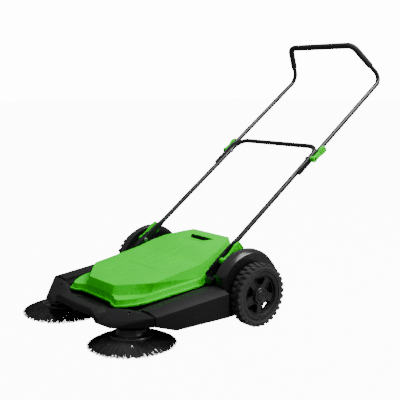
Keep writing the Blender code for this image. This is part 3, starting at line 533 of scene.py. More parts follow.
def tyre(sizes):
    """The carcass with a rounded shoulder, and two rows of raised tread blocks set half a pitch apart."""
    w, r, base = sizes.width, sizes.radius, sizes.rim + 0.0012
    floor = r - 0.0048
    section = [
        (base, 0.0015), (base + 0.006, 0.0004), (floor - 0.006, 0.0012), (floor - 0.0015, 0.0042),
        (floor, 0.008),
    ]
    section += [(floor, w / 2 - 0.0022), (floor - 0.003, w / 2 - 0.001), (floor - 0.003, w / 2 + 0.001)]
    section += [
        (floor, w / 2 + 0.0022), (floor, w - 0.008), (floor - 0.0015, w - 0.0042),
        (floor - 0.006, w - 0.0012),
    ]
    section += [
        (base + 0.009, w - 0.0004), (base + 0.007, w - 0.0016), (base + 0.004, w - 0.0016),
        (base, w - 0.001),
    ]
    carcass = spun("tyre", section[::-1], HUB, OUTWARD, 120)
    blocks = []
    pitch = 2 * math.pi / sizes.lugs
    for row, (low, high) in enumerate(((0.0012, w / 2 - 0.0028), (w / 2 + 0.0028, w - 0.0012))):
        half = pitch * 0.36
        block = wedge("block", -math.pi / 2, floor - 0.0075, r - 0.0002, half * 0.98, half * 0.84, low, high)
        soften(block, 0.0016, 2, 40)
        for i in range(sizes.lugs):
            turn = Matrix.Rotation(pitch * (i + 0.5 * row), 4, "X")
            matrix = Matrix.Translation(HUB) @ turn @ Matrix.Translation(-HUB)
            blocks.append(twin(block, matrix))
        bpy.data.objects.remove(block, do_unlink=True)
    return gather("tyre", [carcass] + blocks)


def rim(sizes):
    """A dished disc with a deep outer lip, trapezoid windows with raised borders, and a raised hub."""
    w, r = sizes.width, sizes.rim
    face = w - 0.012
    section = [
        (0.0066, 0.0), (0.0066, w - 0.01), (0.0215, w - 0.01), (0.0215, w - 0.0035), (0.0235, w - 0.0022),
    ]
    section += [(0.029, w - 0.0022), (0.031, w - 0.004), (0.0335, face - 0.001), (r - 0.0175, face - 0.0015)]
    section += [(r - 0.0145, w - 0.0048), (r - 0.012, w - 0.0032), (r - 0.0015, w - 0.003), (r, w - 0.004)]
    section += [(r, 0.004), (r - 0.01, 0.004), (r - 0.014, face - 0.012), (0.029, face - 0.012), (0.021, 0.0)]
    disc = spun("rim", section[::-1], HUB, OUTWARD, 96)
    pitch = 2 * math.pi / sizes.windows
    for i in range(sizes.windows):
        angle = pitch * i + math.pi / 2
        carve(disc, window("window", angle, 0.0, 0.004, w + 0.01, sizes))
    borders = []
    for i in range(sizes.windows):
        angle = pitch * i + math.pi / 2
        border = window("border", angle, 0.0028, face - 0.01, face + 0.0022, sizes)
        carve(border, window("hole", angle, 0.0002, face - 0.03, face + 0.02, sizes))
        soften(border, 0.0008, 2, 40)
        borders.append(border)
    return gather("rim", [disc] + borders)


def window(name, angle, grow, low, high, sizes):
    """A trapezoid opening between spokes with rounded corners, wider outside."""
    inner, outer = 0.0395 - grow, sizes.rim - 0.0205 + grow
    corners = []
    for radius, half in ((inner, -0.25), (outer, -0.4), (outer, 0.4), (inner, 0.25)):
        a = angle + half + math.copysign(grow / radius, half)
        corners.append(Vector((0, radius * math.cos(a), radius * math.sin(a))))
    outline = []
    count = len(corners)
    for i, corner in enumerate(corners):
        path = rounded([corners[i - 1], corner, corners[(i + 1) % count]], 0.005 + grow, 5)
        outline += path[1:-1]
    return drawn(name, [[HUB + p + Vector((x, 0, 0)) for p in outline] for x in (low, high)])


def hub_cap(sizes):
    w = sizes.width
    section = [(0.0001, w - 0.0002), (0.012, w - 0.0004), (0.018, w - 0.0012), (0.0203, w - 0.003)]
    section += [(0.0208, w - 0.0048), (0.0208, w - 0.009), (0.0001, w - 0.009)]
    cap = spun("hub_cap", section[::-1], HUB, OUTWARD, 72)
    dimple = [(0.0001, w + 0.002), (0.0062, w + 0.002), (0.0062, w - 0.0012), (0.0001, w - 0.0016)]
    return carve(cap, spun("dimple", dimple[::-1], HUB, OUTWARD, 48))


class SWEEPER_OT_wheels(bpy.types.Operator):
    """Builds both wheels: tyres with tread blocks, rims with windows, and hub caps"""

    bl_idname = "sweeper.wheels"
    bl_label = "Wheels"

    def execute(self, context):
        sizes = context.scene.sweeper_wheels
        both_sides(tyre(sizes), "tread_tyre_*", "wheel_*", tyre_rubber(), ["tyre_*"], 32)
        both_sides(
            rim(sizes), "spoked_rim_*", "wheel_*", black_plastic(), ["wheel_rim_*"], 32,
        )
        both_sides(
            hub_cap(sizes), "hub_disc_*", "wheel_*", black_plastic(), ["hub_cap_*"], 40,
        )
        return {"FINISHED"}


# ---- disc brushes ------------------------------------------------------------------------------
BRUSH_TILT = math.radians(1.6)
RING_Z = 0.044
FOOT = 0.158 * math.sin(BRUSH_TILT) + 0.0006


def brush_frame(side):
    """From the brush's own axis at the bristle tips, Z along the spindle, to the machine."""
    foot = Vector((side * BRUSH.x, BRUSH.y, FOOT))
    return Matrix.Translation(foot) @ Matrix.Rotation(-side * BRUSH_TILT, 4, "Y")


def tuft(strands, seed, root, tip, lean, spread):
    """Filaments that leave one hole and fan out as they fall, each a thin three-sided taper with a bend."""
    chance = random.Random(seed)
    made = []
    for _ in range(strands):
        a = chance.uniform(0, 2 * math.pi)
        reach = math.sqrt(chance.uniform(0, 1)) * 0.0042
        start = root + Vector((math.cos(a) * reach, math.sin(a) * reach, 0))
        end = tip + Vector((chance.uniform(-1, 1) * spread, chance.uniform(-1, 1) * spread * 1.5, 0))
        end += Vector(
            (chance.uniform(-0.004, 0.0), lean + chance.uniform(-0.003, 0.003), chance.uniform(0, 0.0016))
        )
        rings = []
        for i in range(5):
            t = i / 4
            point = start.lerp(end, t)
            point.z += 0.0035 * math.sin(math.pi * t) * (1 - 0.3 * t)
            thick = 0.00076 * (1 - 0.05 * t)
            rings.append([point + Vector((0, math.cos(u), math.sin(u))) * thick for u in (0.5, 2.6, 4.7)])
        made.append(rings)
    return made


def loose(name, shapes):
    """One mesh of many thin shapes, each a list of rings, in one draw so that thousands stay quick."""
    ready()
    bpy.ops.mesh.primitive_circle_add(vertices=3)
    obj = named(name)
    work = bmesh.new()
    for rings in shapes:
        rows = [[work.verts.new(p) for p in ring] for ring in rings]
        count = len(rows[0])
        for below, above in zip(rows, rows[1:]):
            for i in range(count):
                j = (i + 1) % count
                work.faces.new((below[i], below[j], above[j], above[i]))
        work.faces.new(rows[0][::-1])
        work.faces.new(rows[-1])
    bmesh.ops.recalc_face_normals(work, faces=work.faces)
    work.to_mesh(obj.data)
    work.free()
    return obj


def disc_bristles(sizes):
    shapes = []
    rows = (
        (0.0735, RING_Z - 0.005, sizes.radius - 0.0015, 0.0015, sizes.tufts, 0.009),
        (0.066, RING_Z - 0.006, sizes.radius - 0.012, 0.002, sizes.tufts - 6, -0.006),
        (0.056, RING_Z - 0.007, sizes.radius - 0.034, 0.003, sizes.tufts - 12, 0.004),
    )
    for row, (start, high, reach, low, count, lean) in enumerate(rows):
        for i in range(count):
            root, tip = Vector((start, 0, high - 0.005)), Vector((reach - 0.003, 0, low))
            turn = Matrix.Rotation(2 * math.pi * (i + row * 0.37) / count, 4, "Z")
            for rings in tuft(sizes.strands, 1000 * row + i, root, tip, lean, 0.0075):
                shapes.append([[clipped(turn @ p, sizes.radius) for p in ring] for ring in rings])
    return loose("bristles", shapes)


def clipped(point, radius):
    """Keeps a filament's tip inside the trimmed circle of the brush."""
    flat = math.hypot(point.x, point.y)
    if flat > radius - 0.0008:
        point = Vector((point.x * (radius - 0.0008) / flat, point.y * (radius - 0.0008) / flat, point.z))
    return point


def disc_plate():
    """The moulded disc: a stepped drum, a glossy rolled ring over the tufts, and stiffening ribs."""
    ring = [
        (0.048, 0.05), (0.056, 0.0478), (0.064, 0.047), (0.072, 0.0466), (0.0765, 0.0452), (0.0786, 0.0425),
    ]
    ring += [
        (0.0788, 0.0398), (0.0776, 0.0378), (0.0752, 0.0372), (0.07, 0.0376), (0.056, 0.038), (0.048, 0.04),
    ]
    plate = spun("plate", [(r, z - FOOT) for r, z in ring], (0, 0, 0), (0, 0, 1), 96)
    drum = [(0.0001, 0.071), (0.044, 0.071), (0.05, 0.07), (0.0535, 0.067), (0.0548, 0.062), (0.056, 0.052)]
    drum += [(0.058, 0.049), (0.058, 0.044), (0.0001, 0.044)]
    cup = spun("cup", [(r, z - FOOT) for r, z in drum], (0, 0, 0), (0, 0, 1), 96)
    ribs = []
    for i in range(12):
        rib = box("rib", (0.0545, -0.0012, 0.0462 - FOOT), (0.0735, 0.0012, 0.049 - FOOT))
        soften(rib, 0.0006, 1, 40)
        ribs.append(twin(rib, Matrix.Rotation(2 * math.pi * i / 12, 4, "Z")))
        bpy.data.objects.remove(rib, do_unlink=True)
    return gather("plate", [plate, cup] + ribs)


def spindle():
    shape = [
        (0.0001, 0.095), (0.0068, 0.095), (0.0079, 0.094), (0.0079, 0.0715), (0.013, 0.0712), (0.013, 0.07),
    ]
    shape += [(0.0001, 0.07)]
    return spun("spindle", [(r, z - FOOT) for r, z in shape], (0, 0, 0), (0, 0, 1), 40)


class SWEEPER_OT_disc_brushes(bpy.types.Operator):
    """Builds both disc brushes: the moulded disc, its spindle and three rows of tufts"""

    bl_idname = "sweeper.disc_brushes"
    bl_label = "Disc brushes"

    def execute(self, context):
        sizes = context.scene.sweeper_brushes
        for side, s in SIDES:
            turn = Matrix.Rotation(0.19 * s, 4, "Z")
            for make, name, material, slot, nodes, smooth in (
                (disc_plate, "tuft_disc", fender_plastic(), "black_plastic", [f"brush_disc_{side}"], 30),
                (spindle, "brush_spindle", zinc_steel(), "zinc_steel", [], 40),
            ):
                made = make()
                made.data.transform(brush_frame(s) @ turn)
                made.name = made.data.name = f"{name}_{side}"
                piece(made, f"disc_brush_{side}", material, nodes, smooth)
            tufts = disc_bristles(sizes)
            tufts.data.transform(brush_frame(s) @ turn)
            tufts.name = tufts.data.name = f"bristle_tufts_{side}"
            piece(
                tufts, f"disc_brush_{side}", bristle_plastic(), [f"brush_bristles_{side}"],
                60,
            )
        return {"FINISHED"}


# ---- handle ------------------------------------------------------------------------------------
CROSS_AT = 0.685
BEND_AT = 1.173
LAP_DOWN = 0.094
LUG_DOWN = 0.058
GRIP_RISE = 0.19
GRIP_HALF = 0.184
GRIP_LEAN = math.radians(94.6)


def mirrored_path(half):
    """A path from the left side on to the right side, from its left half."""
    return list(half) + [Vector((-p.x, p.y, p.z)) for p in reversed(half)]


def filled(path, step):
    """The same path with a point at least every step."""
    dense = [path[0]]
    for a, b in zip(path, path[1:]):
        count = max(1, math.ceil((b - a).length / step))
        dense += [a.lerp(b, i / count) for i in range(1, count + 1)]
    return dense


def ease(value, low, high):
    t = min(max((value - low) / (high - low), 0.0), 1.0)
    return t * t * (3 - 2 * t)


def flattened_tube(name, path, radius, flat, full_at, round_at, flat_x, flat_r, end_r):
    """A round tube with ends pressed flat: flat up to full_at from an end, round beyond round_at."""
    path = filled(path, 0.03)
    lengths = [0.0]
    for a, b in zip(path, path[1:]):
        lengths.append(lengths[-1] + (b - a).length)
    total = lengths[-1]

    def section(i, _):
        near = min(lengths[i], total - lengths[i])
        share = ease(near, full_at, round_at)
        across = flat_x + (radius - flat_x) * share
        high = flat_r + (radius - flat_r) * share
        if near < flat:
            high = end_r + (flat_r - end_r) * math.sqrt(max(near, 0.0) / flat)
        return [
            (across * squared(math.cos(t), share), high * squared(math.sin(t), share))
            for t in (2 * math.pi * k / 28 for k in range(28))
        ]

    return swept(name, path, section)


def squared(value, share):
    """Pulls a circle's coordinate out towards a rounded rectangle where the tube is flat."""
    power = 0.55 + 0.45 * share
    return math.copysign(abs(value) ** power, value)


def ends_of(points, ladder):
    """A path with extra points just inside its two ends, at these distances."""
    lead = [points[0].lerp(points[1], d / (points[1] - points[0]).length) for d in ladder]
    tail = [points[-1].lerp(points[-2], d / (points[-2] - points[-1]).length) for d in ladder]
    return [points[0]] + lead + points[1:-1] + tail[::-1] + [points[-1]]


def lower_frame(sizes):
    half = [along(-LUG_DOWN, 0, LOWER_X), along(CROSS_AT, 0, LOWER_X)]
    path = rounded(mirrored_path(half), 0.055, 14)
    path = ends_of(
        path, (0.0006, 0.0018, 0.004, 0.007, 0.012, 0.06, 0.12, 0.135, 0.145, 0.155, 0.165, 0.175, 0.188),
    )
    tube = flattened_tube("lower_tube_frame", path, sizes.tube, 0.007, 0.132, 0.186, 0.004, 0.0145, 0.0105)
    for _, s in SIDES:
        for at in (0.0, MID_AT):
            inner, outer = along(at, 0, s * (LOWER_X - 0.02)), along(at, 0, s * (LOWER_X + 0.02))
            carve(tube, rod("hole", inner, outer, 0.0044, 24))
    return tube


def handle_half(start):
    bend_up = (BEND_AT + GRIP_RISE * math.cos(GRIP_LEAN), GRIP_RISE * math.sin(GRIP_LEAN))
    return [along(start, 0, UPPER_X), along(BEND_AT, 0, UPPER_X), along(*bend_up, GRIP_HALF)]


def upper_handle(sizes):
    path = rounded(mirrored_path(handle_half(MID_AT - LAP_DOWN)), 0.042, 14)
    path = ends_of(
        path, (0.0006, 0.0018, 0.004, 0.006, 0.06, 0.1, 0.124, 0.132, 0.14, 0.15, 0.16, 0.17, 0.18),
    )
    tube = flattened_tube("upper_tube_handle", path, sizes.tube, 0.006, 0.124, 0.176, 0.00325, 0.0118, 0.0085)
    for _, s in SIDES:
        inner, outer = along(MID_AT, 0, s * (LAP_X - 0.02)), along(MID_AT, 0, s * (LAP_X + 0.02))
        carve(tube, rod("hole", inner, outer, 0.0044, 24))
    return tube


def foam_grip(sizes):
    """A foam sleeve over the top, its ends rolled in, with the small swellings that foam has at a bend."""
    _, foot, corner = handle_half(0)
    start = foot.lerp(corner, 0.37)
    path = filled(rounded(mirrored_path([start, corner]), 0.042, 14), 0.012)
    path = ends_of(path, (0.0004, 0.0014, 0.003, 0.006))
    lengths = [0.0]
    for a, b in zip(path, path[1:]):
        lengths.append(lengths[-1] + (b - a).length)
    total = lengths[-1]

    def section(i, run):
        near = min(lengths[i], total - lengths[i])
        radius = sizes.grip - 0.0028 * (1 - ease(near, 0.0, 0.0045)) - 0.00035 * (
            0.5 + 0.5 * math.sin(run * 61)
        )
        return circle(radius, 32)

    return swept("foam_sleeve", path, section)


def head_and_shank(name, node):
    """A hexagon head with a washer face, on the shank of the frame's own bolt."""
    bolt = copied(node, name)
    soften(bolt, 0.0007, 2, 25)
    low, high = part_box(node)
    washer_x = low.x + 0.0042
    ring = [(0.0046, 0.0), (0.0046, 0.0012), (0.0092, 0.0012), (0.0096, 0.0008), (0.0096, 0.0)]
    centre = Vector((washer_x, (low.y + high.y) / 2 - AXLE.y, (low.z + high.z) / 2))
    return gather(name, [bolt, spun("washer", ring[::-1], centre, OUTWARD, 40)])


def copied(node, name):
    """A merged copy of a frame node at the drawing's own place, for a shape that is already right."""
    ready()
    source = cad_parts[node]
    obj = bpy.data.objects.new(name, source.data.copy())
    obj.data.name = name
    bpy.context.scene.collection.objects.link(obj)
    obj.data.transform(Matrix.Translation(-SHIFT))
    pick(obj)
    bpy.ops.object.mode_set(mode="EDIT")
    bpy.ops.mesh.select_all(action="SELECT")
    bpy.ops.mesh.remove_doubles(threshold=0.00002)
    bpy.ops.mesh.dissolve_limited(angle_limit=math.radians(0.8))
    bpy.ops.mesh.normals_make_consistent(inside=False)
    bpy.ops.object.mode_set(mode="OBJECT")
    if obj.data.has_custom_normals:
        bpy.ops.mesh.customdata_custom_splitnormals_clear()
    return obj


def clamp_lever(name, distance, inner_x, arm_x, outer_x, reach, fall):
    """A boss with a six-lobed recess over the nut, and a wing with a sunk panel and finger ribs."""
    start = along(distance, 0, inner_x)
    length = outer_x - inner_x
    profile = [
        (0.0046, 0.0), (0.0118, 0.0), (0.0125, 0.001), (0.0125, length - 0.0022), (0.0114, length - 0.0006),
    ]
    profile += [(0.01, length), (0.0046, length)]
    boss = spun("boss", profile[::-1], start, OUTWARD, 56)
    wing = [
        (0.0, 0.0095), (0.035, 0.0085), (reach * 0.75, 0.015), (reach, 0.01), (reach + 0.004, -fall * 0.72),
    ]
    wing += [(reach * 0.86, -fall), (reach * 0.62, -fall * 0.85), (0.03, -0.0115), (0.0, -0.0105)]
    outline = []
    for i, corner in enumerate(wing):
        if 0 < i < len(wing) - 1:
            before, after = Vector((*wing[i - 1], 0)), Vector((*wing[i + 1], 0))
            limit = min((Vector((*corner, 0)) - before).length, (Vector((*corner, 0)) - after).length)
            outline += rounded([before, Vector((*corner, 0)), after], min(0.006, limit * 0.3), 4)[1:-1]
        else:
            outline.append(Vector((*corner, 0)))
    rings = [[along(distance + p.x, p.y, x) for p in outline] for x in (arm_x, outer_x - 0.002)]
    arm = drawn("arm", rings)
    soften(arm, 0.0014, 3, 40)
    sunk = [Vector((p.x, p.y, 0)) for p in outline if p.x > 0.018]
    centre = sum(sunk, Vector()) / len(sunk)
    panel = []
    for p in sunk:
        away = p - centre
        panel.append(centre + away * max(0.0, 1 - 0.0052 / max(away.length, 0.006)))
    cutter = drawn(
        "panel", [[along(distance + p.x, p.y, x) for p in panel] for x in (outer_x - 0.0034, outer_x + 0.003)]
    )
    carve(arm, cutter)
    shape = weld_on(boss, arm)
    star = []
    for i in range(48):
        t = 2 * math.pi * i / 48
        radius = 0.0078 + 0.0011 * math.cos(6 * t)
        star.append((radius * math.cos(t), radius * math.sin(t)))
    recess = drawn(
        "recess", [[along(distance + a, b, x) for a, b in star] for x in (outer_x - 0.0045, outer_x + 0.004)]
    )
    carve(shape, recess)
    ribs = []
    for k in range(4):
        at = 0.034 + (reach - 0.05) * k / 3
        rib = box("rib", (0, 0, 0), (1, 1, 1))
        bottom, top = -0.007 - 0.28 * fall * at / reach * 1.6, 0.006
        for vert in rib.data.vertices:
            u, v, w = vert.co
            vert.co = along(
                distance + at + (w - 0.5) * 0.0022, bottom + (top - bottom) * v,
                outer_x - 0.004 + 0.0018 * u,
            )
        soften(rib, 0.0005, 1, 40)
        ribs.append(rib)
    return gather(name, [shape] + ribs)


class SWEEPER_OT_handle(bpy.types.Operator):
    """Builds the lower frame, the upper handle and its foam grip"""

    bl_idname = "sweeper.handle"
    bl_label = "Handle"

    def execute(self, context):
        sizes = context.scene.sweeper_handle
        lower = lower_frame(sizes)
        piece(lower, "lower_frame", gloss_paint(), ["lower_frame_tube"], 40)
        upper = upper_handle(sizes)
        piece(upper, "upper_handle", gloss_paint(), ["upper_handle_tube"], 40)
        grip = foam_grip(sizes)
        piece(grip, "upper_handle", foam_rubber(), ["foam_grip"], 50)
        return {"FINISHED"}


class SWEEPER_OT_clamps(bpy.types.Operator):
    """Builds the handle's brackets, bolts and clamp levers"""

    bl_idname = "sweeper.clamps"
    bl_label = "Brackets and clamps"

    def execute(self, context):
        bracket = copied("handle_bracket_left", "bracket")
        soften(bracket, 0.0012, 2, 25)
        both_sides(
            bracket, "root_bracket_*", "chassis", gloss_paint(), ["handle_bracket_*"],
            35,
        )
        for where, body in (("base", "chassis"), ("mid", "lower_frame")):
            bolt = head_and_shank(f"{where}_bolt", f"{where}_bolt_left")
            both_sides(bolt, f"{where}_hex_bolt_*", body, zinc_steel(), [f"{where}_bolt_*"], 30)
        low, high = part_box("base_lever_left")
        base = clamp_lever("lever", 0.0, low.x, 0.262, high.x, 0.1, 0.034)
        both_sides(
            base, "base_clamp_lever_*", "base_lever_*", lime_plastic(), ["base_lever_*"], 32,
        )
        low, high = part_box("mid_lever_left")
        mid = clamp_lever("lever", MID_AT, low.x, 0.2652, high.x, 0.078, 0.018)
        both_sides(
            mid, "mid_clamp_lever_*", "mid_lever_*", lime_plastic(), ["mid_lever_*"], 32,
        )
        return {"FINISHED"}


# ---- body --------------------------------------------------------------------------------------
WELL_X = 0.262
LEDGE_X = 0.305
PANEL = (0.348, 0.353, 0.366)
FRONT_Y = -0.455
REAR_OF_SKIRT = -0.135
REAR_Y = 0.118
HOUSING_X = 0.338
CROWN_X = 0.289
SHELL = 0.004
RIM_LINE = ((-0.493, 0.117), (-0.146, 0.151), (-0.1, 0.178), (0.105, 0.243))


def hull(name, points):
    """The convex solid round some points."""
    ready()
    bpy.ops.mesh.primitive_circle_add(vertices=len(points), fill_type="NOTHING")
    obj = named(name)
    for vert, point in zip(obj.data.vertices, points):
        vert.co = point
    bpy.ops.object.mode_set(mode="EDIT")
    bpy.ops.mesh.select_all(action="SELECT")
    bpy.ops.mesh.delete(type="EDGE_FACE")
    bpy.ops.mesh.select_all(action="SELECT")
    bpy.ops.mesh.convex_hull(delete_unused=True, use_existing_faces=False, join_triangles=False)
    bpy.ops.mesh.select_all(action="SELECT")
    bpy.ops.mesh.dissolve_limited(angle_limit=math.radians(0.6))
    bpy.ops.mesh.normals_make_consistent(inside=False)
    bpy.ops.object.mode_set(mode="OBJECT")
    return obj


def rim_z(y):
    """Height of the underside of the lid's rim."""
    for (y0, z0), (y1, z1) in zip(RIM_LINE, RIM_LINE[1:]):
        if y <= y1:
            return z0 + (z1 - z0) * (y - y0) / (y1 - y0)
    return RIM_LINE[-1][1]


def crown_z(y):
    """Height of the lid's top."""
    if y <= -0.1345:
        return 0.2256 + 0.16 * (y + 0.1345)
    if y <= -0.04:
        return 0.2256 + 0.0314 * (y + 0.1345) / 0.0945
    return 0.257 + 0.2 * (y + 0.04)


def ledge_z(y, x):
    """Height of the skirt's top beside the lid."""
    share = (y - FRONT_Y) / (REAR_OF_SKIRT - FRONT_Y)
    return 0.132 + 0.032 * share - 0.004 * (LEDGE_X - x) / (LEDGE_X - WELL_X)


def skirt(edge):
    """One side skirt: a hollow shell with a chamfered shoulder and two long grooves on its ledge."""
    def shape(name, inset, drop):
        points = []
        for y, low, shoulder, top, out in (
            (FRONT_Y + inset, 0.086, 0.121, 0.132, PANEL[0]),
            (-0.371, 0.057, 0.126, 0.137, PANEL[1]),
            (REAR_OF_SKIRT - inset, 0.057, 0.147, 0.164, PANEL[2]),
        ):
            points += [
                (out - inset, y, low - drop), (out - inset, y, shoulder - inset), (LEDGE_X, y, top - inset),
            ]
            points += [(WELL_X + inset, y, top - 0.004 - inset), (WELL_X + inset, y, low - drop)]
        return hull(name, points)

    made = soften(shape("skirt", 0, 0), edge, 3, 12)
    carve(made, shape("hollow", SHELL, 0.05))
    for x, start, end in ((0.2755, -0.425, -0.18), (0.2875, -0.405, -0.165)):
        rings = []
        for y in (start, end):
            z = ledge_z(y, x)
            rings.append([(x - 0.0016, y, z + 0.003), (x + 0.0016, y, z + 0.003), (x, y, z - 0.0022)])
        carve(made, drawn("groove", rings))
    return carve(made, passage(), gate())


def passage():
    """Room for the belts between the wheel housing and the skirt."""
    return box("passage", (0.27, REAR_OF_SKIRT - 0.015, 0.072), (0.33, REAR_OF_SKIRT + 0.04, 0.148))


def gate():
    """Room for the belt between the skirt and the brush cover."""
    return box("gate", (0.205, FRONT_Y - 0.02, 0.08), (0.288, FRONT_Y + 0.045, 0.104))


def shelf(edge):
    """The shelf under the lid's rim."""
    points = []
    for y in (FRONT_Y + 0.002, -0.146):
        for x in (0.228, WELL_X + 0.012):
            points += [(x, y, rim_z(y) - 0.005), (x, y, rim_z(y) - 0.015)]
    return carve(soften(hull("shelf", points), edge * 0.6, 2, 20), gate())


def housing_outline(x, radius):
    arc = [math.radians(150 - 125 * i / 28) for i in range(29)]
    points = [(x, REAR_OF_SKIRT - 0.002, 0.046), (x, REAR_OF_SKIRT - 0.002, 0.15)]
    points += [(x, radius * math.cos(a), AXLE.z + radius * math.sin(a)) for a in arc]
    return points + [(x, REAR_Y, 0.17), (x, REAR_Y, 0.07), (x, -0.06, 0.046)]


def wheel_housing(edge):
    """The crowned fender, the low step inside it, and the hollow that the drive turns in."""
    rings = ((CROWN_X, 0.159), (CROWN_X + 0.004, 0.1625), (CROWN_X + 0.01, 0.164), (0.3165, 0.1625))
    rings += ((0.324, 0.159), (0.331, 0.1545), (HOUSING_X - 0.0015, 0.1512), (HOUSING_X, 0.149))
    fender = drawn("fender", [housing_outline(x, radius) for x, radius in rings])
    lip = []
    for radius in (0.1482, 0.1512):
        lip.append([(HOUSING_X - 0.001, radius * math.cos(a), AXLE.z + radius * math.sin(a))
                    for a in (math.radians(150 - 125 * i / 28) for i in range(29))])
    outline = lip[0] + lip[1][::-1]
    band = drawn("lip", [outline, [(x + 0.0022, y, z) for x, y, z in outline]])
    soften(band, 0.0007, 2, 40)
    step = drawn("step", [housing_outline(x, 0.11) for x in (WELL_X - 0.004, CROWN_X + 0.006)])
    soften(step, edge, 3, 30)
    hollow = rod("hollow", (WELL_X + SHELL, 0, AXLE.z), (HOUSING_X - SHELL, 0, AXLE.z), 0.106, 48)
    belly = box(
        "belly", (WELL_X + SHELL, REAR_OF_SKIRT + SHELL, 0), (HOUSING_X - SHELL, REAR_Y - SHELL, AXLE.z),
    )
    hole = rod("bore", (WELL_X - 0.02, 0, AXLE.z), (HOUSING_X + 0.02, 0, AXLE.z), 0.0214, 48)
    carve(fender, twin(hollow, Matrix()), twin(belly, Matrix()), twin(hole, Matrix()), passage())
    carve(step, hollow, belly, hole, passage())
    return gather("housing", [fender, band, step])


def hood(edge):
    """The tunnel over the roller brush with its inlet to the hopper, and the rear wall."""
    tunnel = box("hood", (-WELL_X - 0.002, -0.172, 0.064), (WELL_X + 0.002, REAR_Y - 0.002, 0.133))
    soften(tunnel, edge, 2, 30)
    carve(
        tunnel,
        rod("chamber", (-0.252, -0.115, 0.048), (0.252, -0.115, 0.048), 0.052, 64),
        box("mouth", (-0.252, -0.2, 0.05), (0.252, -0.115, 0.106)),
        box("trough", (-0.252, -0.057, 0.0), (0.252, REAR_Y - 0.01, 0.129)),
    )
    for _, s in SIDES:
        carve(tunnel, rod("seat", (s * 0.245, -0.115, 0.048), (s * 0.275, -0.115, 0.048), 0.0134, 32))
    wall = box("wall", (-WELL_X - 0.003, REAR_Y - 0.009, 0.073), (WELL_X + 0.003, REAR_Y - 0.0015, 0.232))
    soften(wall, edge, 3, 30)
    ribs = []
    for i in range(7):
        x = -0.21 + 0.07 * i
        rib = box("rib", (x - 0.0015, REAR_Y - 0.012, 0.09), (x + 0.0015, REAR_Y - 0.008, 0.222))
        ribs.append(soften(rib, 0.0006, 1, 30))
    return gather("hood", [tunnel, wall] + ribs)


def brush_cover(edge):
    """The faceted cover over a disc brush, with a sunk screw seat."""
    top = ((0.134, -0.512, 0.116), (0.223, -0.5515, 0.09), (0.288, -0.499, 0.1), (0.345, -0.457, 0.121))
    top += ((0.29, -0.457, 0.124), (0.215, -0.464, 0.119))
    low = ((0.138, -0.572, 0.075), (0.228, -0.563, 0.075), (0.301, -0.498, 0.08), (0.346, -0.457, 0.086))
    low += ((0.13, -0.457, 0.08), (0.12, -0.5, 0.078))
    centre = Vector((0.23, -0.5, 0))

    def shape(name, inset, drop):
        points = []
        for group, fall in ((top, inset), (low, drop)):
            for x, y, z in group:
                away = Vector((x, y, 0)) - centre
                away *= (away.length - 1.6 * inset) / away.length
                points.append((centre.x + away.x, centre.y + away.y, z - fall))
        return hull(name, points)

    cover = soften(shape("cover", 0, 0), edge, 3, 12)
    carve(cover, shape("hollow", SHELL, -SHELL))
    x, y, z = 0.234, -0.488, 0.1118
    low, high = (brush_frame(1) @ Vector((0, 0, at)) for at in (0.052, 0.098))
    screw = [
        (0.0001, 0.02), (0.0074, 0.02), (0.0062, -0.0003), (0.0031, -0.0003), (0.0031, -0.04),
        (0.0001, -0.04),
    ]
    return carve(
        cover, gate(), rod("bearing", low, high, 0.0178, 32), spun("seat", screw, (x, y, z), (0, 0, 1), 32),
    )


def bar_cheek(edge):
    """The horn at an end of the front bar, and the ledge that closes the corner behind it."""
    horn = hull("horn", (
        (0.116, -0.569, 0.117), (0.116, -0.569, 0.0985), (0.116, -0.536, 0.1215), (0.116, -0.536, 0.115),
        (0.15, -0.56, 0.086), (0.15, -0.56, 0.076), (0.148, -0.518, 0.109), (0.148, -0.518, 0.096),
        (0.134, -0.569, 0.105), (0.134, -0.569, 0.078),
    ))
    ledge = hull("ledge", [
        (x, y, z) for x, y in ((0.1, -0.54), (0.16, -0.54), (0.2, -0.48), (0.2, -0.4595), (0.1, -0.4595))
        for z in (0.084, 0.092)
    ])
    apron = box("apron", (0.085, -0.4615, 0.084), (0.212, -0.4595, 0.113))
    return gather(
        "cheek", [soften(horn, edge, 2, 20), soften(ledge, 0.0008, 2, 20), soften(apron, 0.0004, 1, 20)],
    )


def skirt_tray():
    """The tray that closes a skirt from below, under the belt."""
    return soften(hull("tray", [
        (x, y, z) for x in (WELL_X + SHELL + 0.001, PANEL[0] - SHELL - 0.001)
        for y, z in ((-0.425, 0.0755), (-0.425, 0.0785), (-0.371, 0.0585), (REAR_OF_SKIRT - 0.005, 0.0585),
                     (REAR_OF_SKIRT - 0.005, 0.0615))
    ]), 0.0006, 1, 20)


def wheel_guard():
    """The thin disc behind a wheel that keeps dirt off the drive."""
    ring = [
        (0.0225, 0.0), (0.088, 0.0), (0.0886, 0.0005), (0.0886, 0.0011), (0.088, 0.0016), (0.0225, 0.0016),
    ]
    return spun("guard", ring[::-1], (HOUSING_X + 0.0024, 0, AXLE.z), OUTWARD, 72)


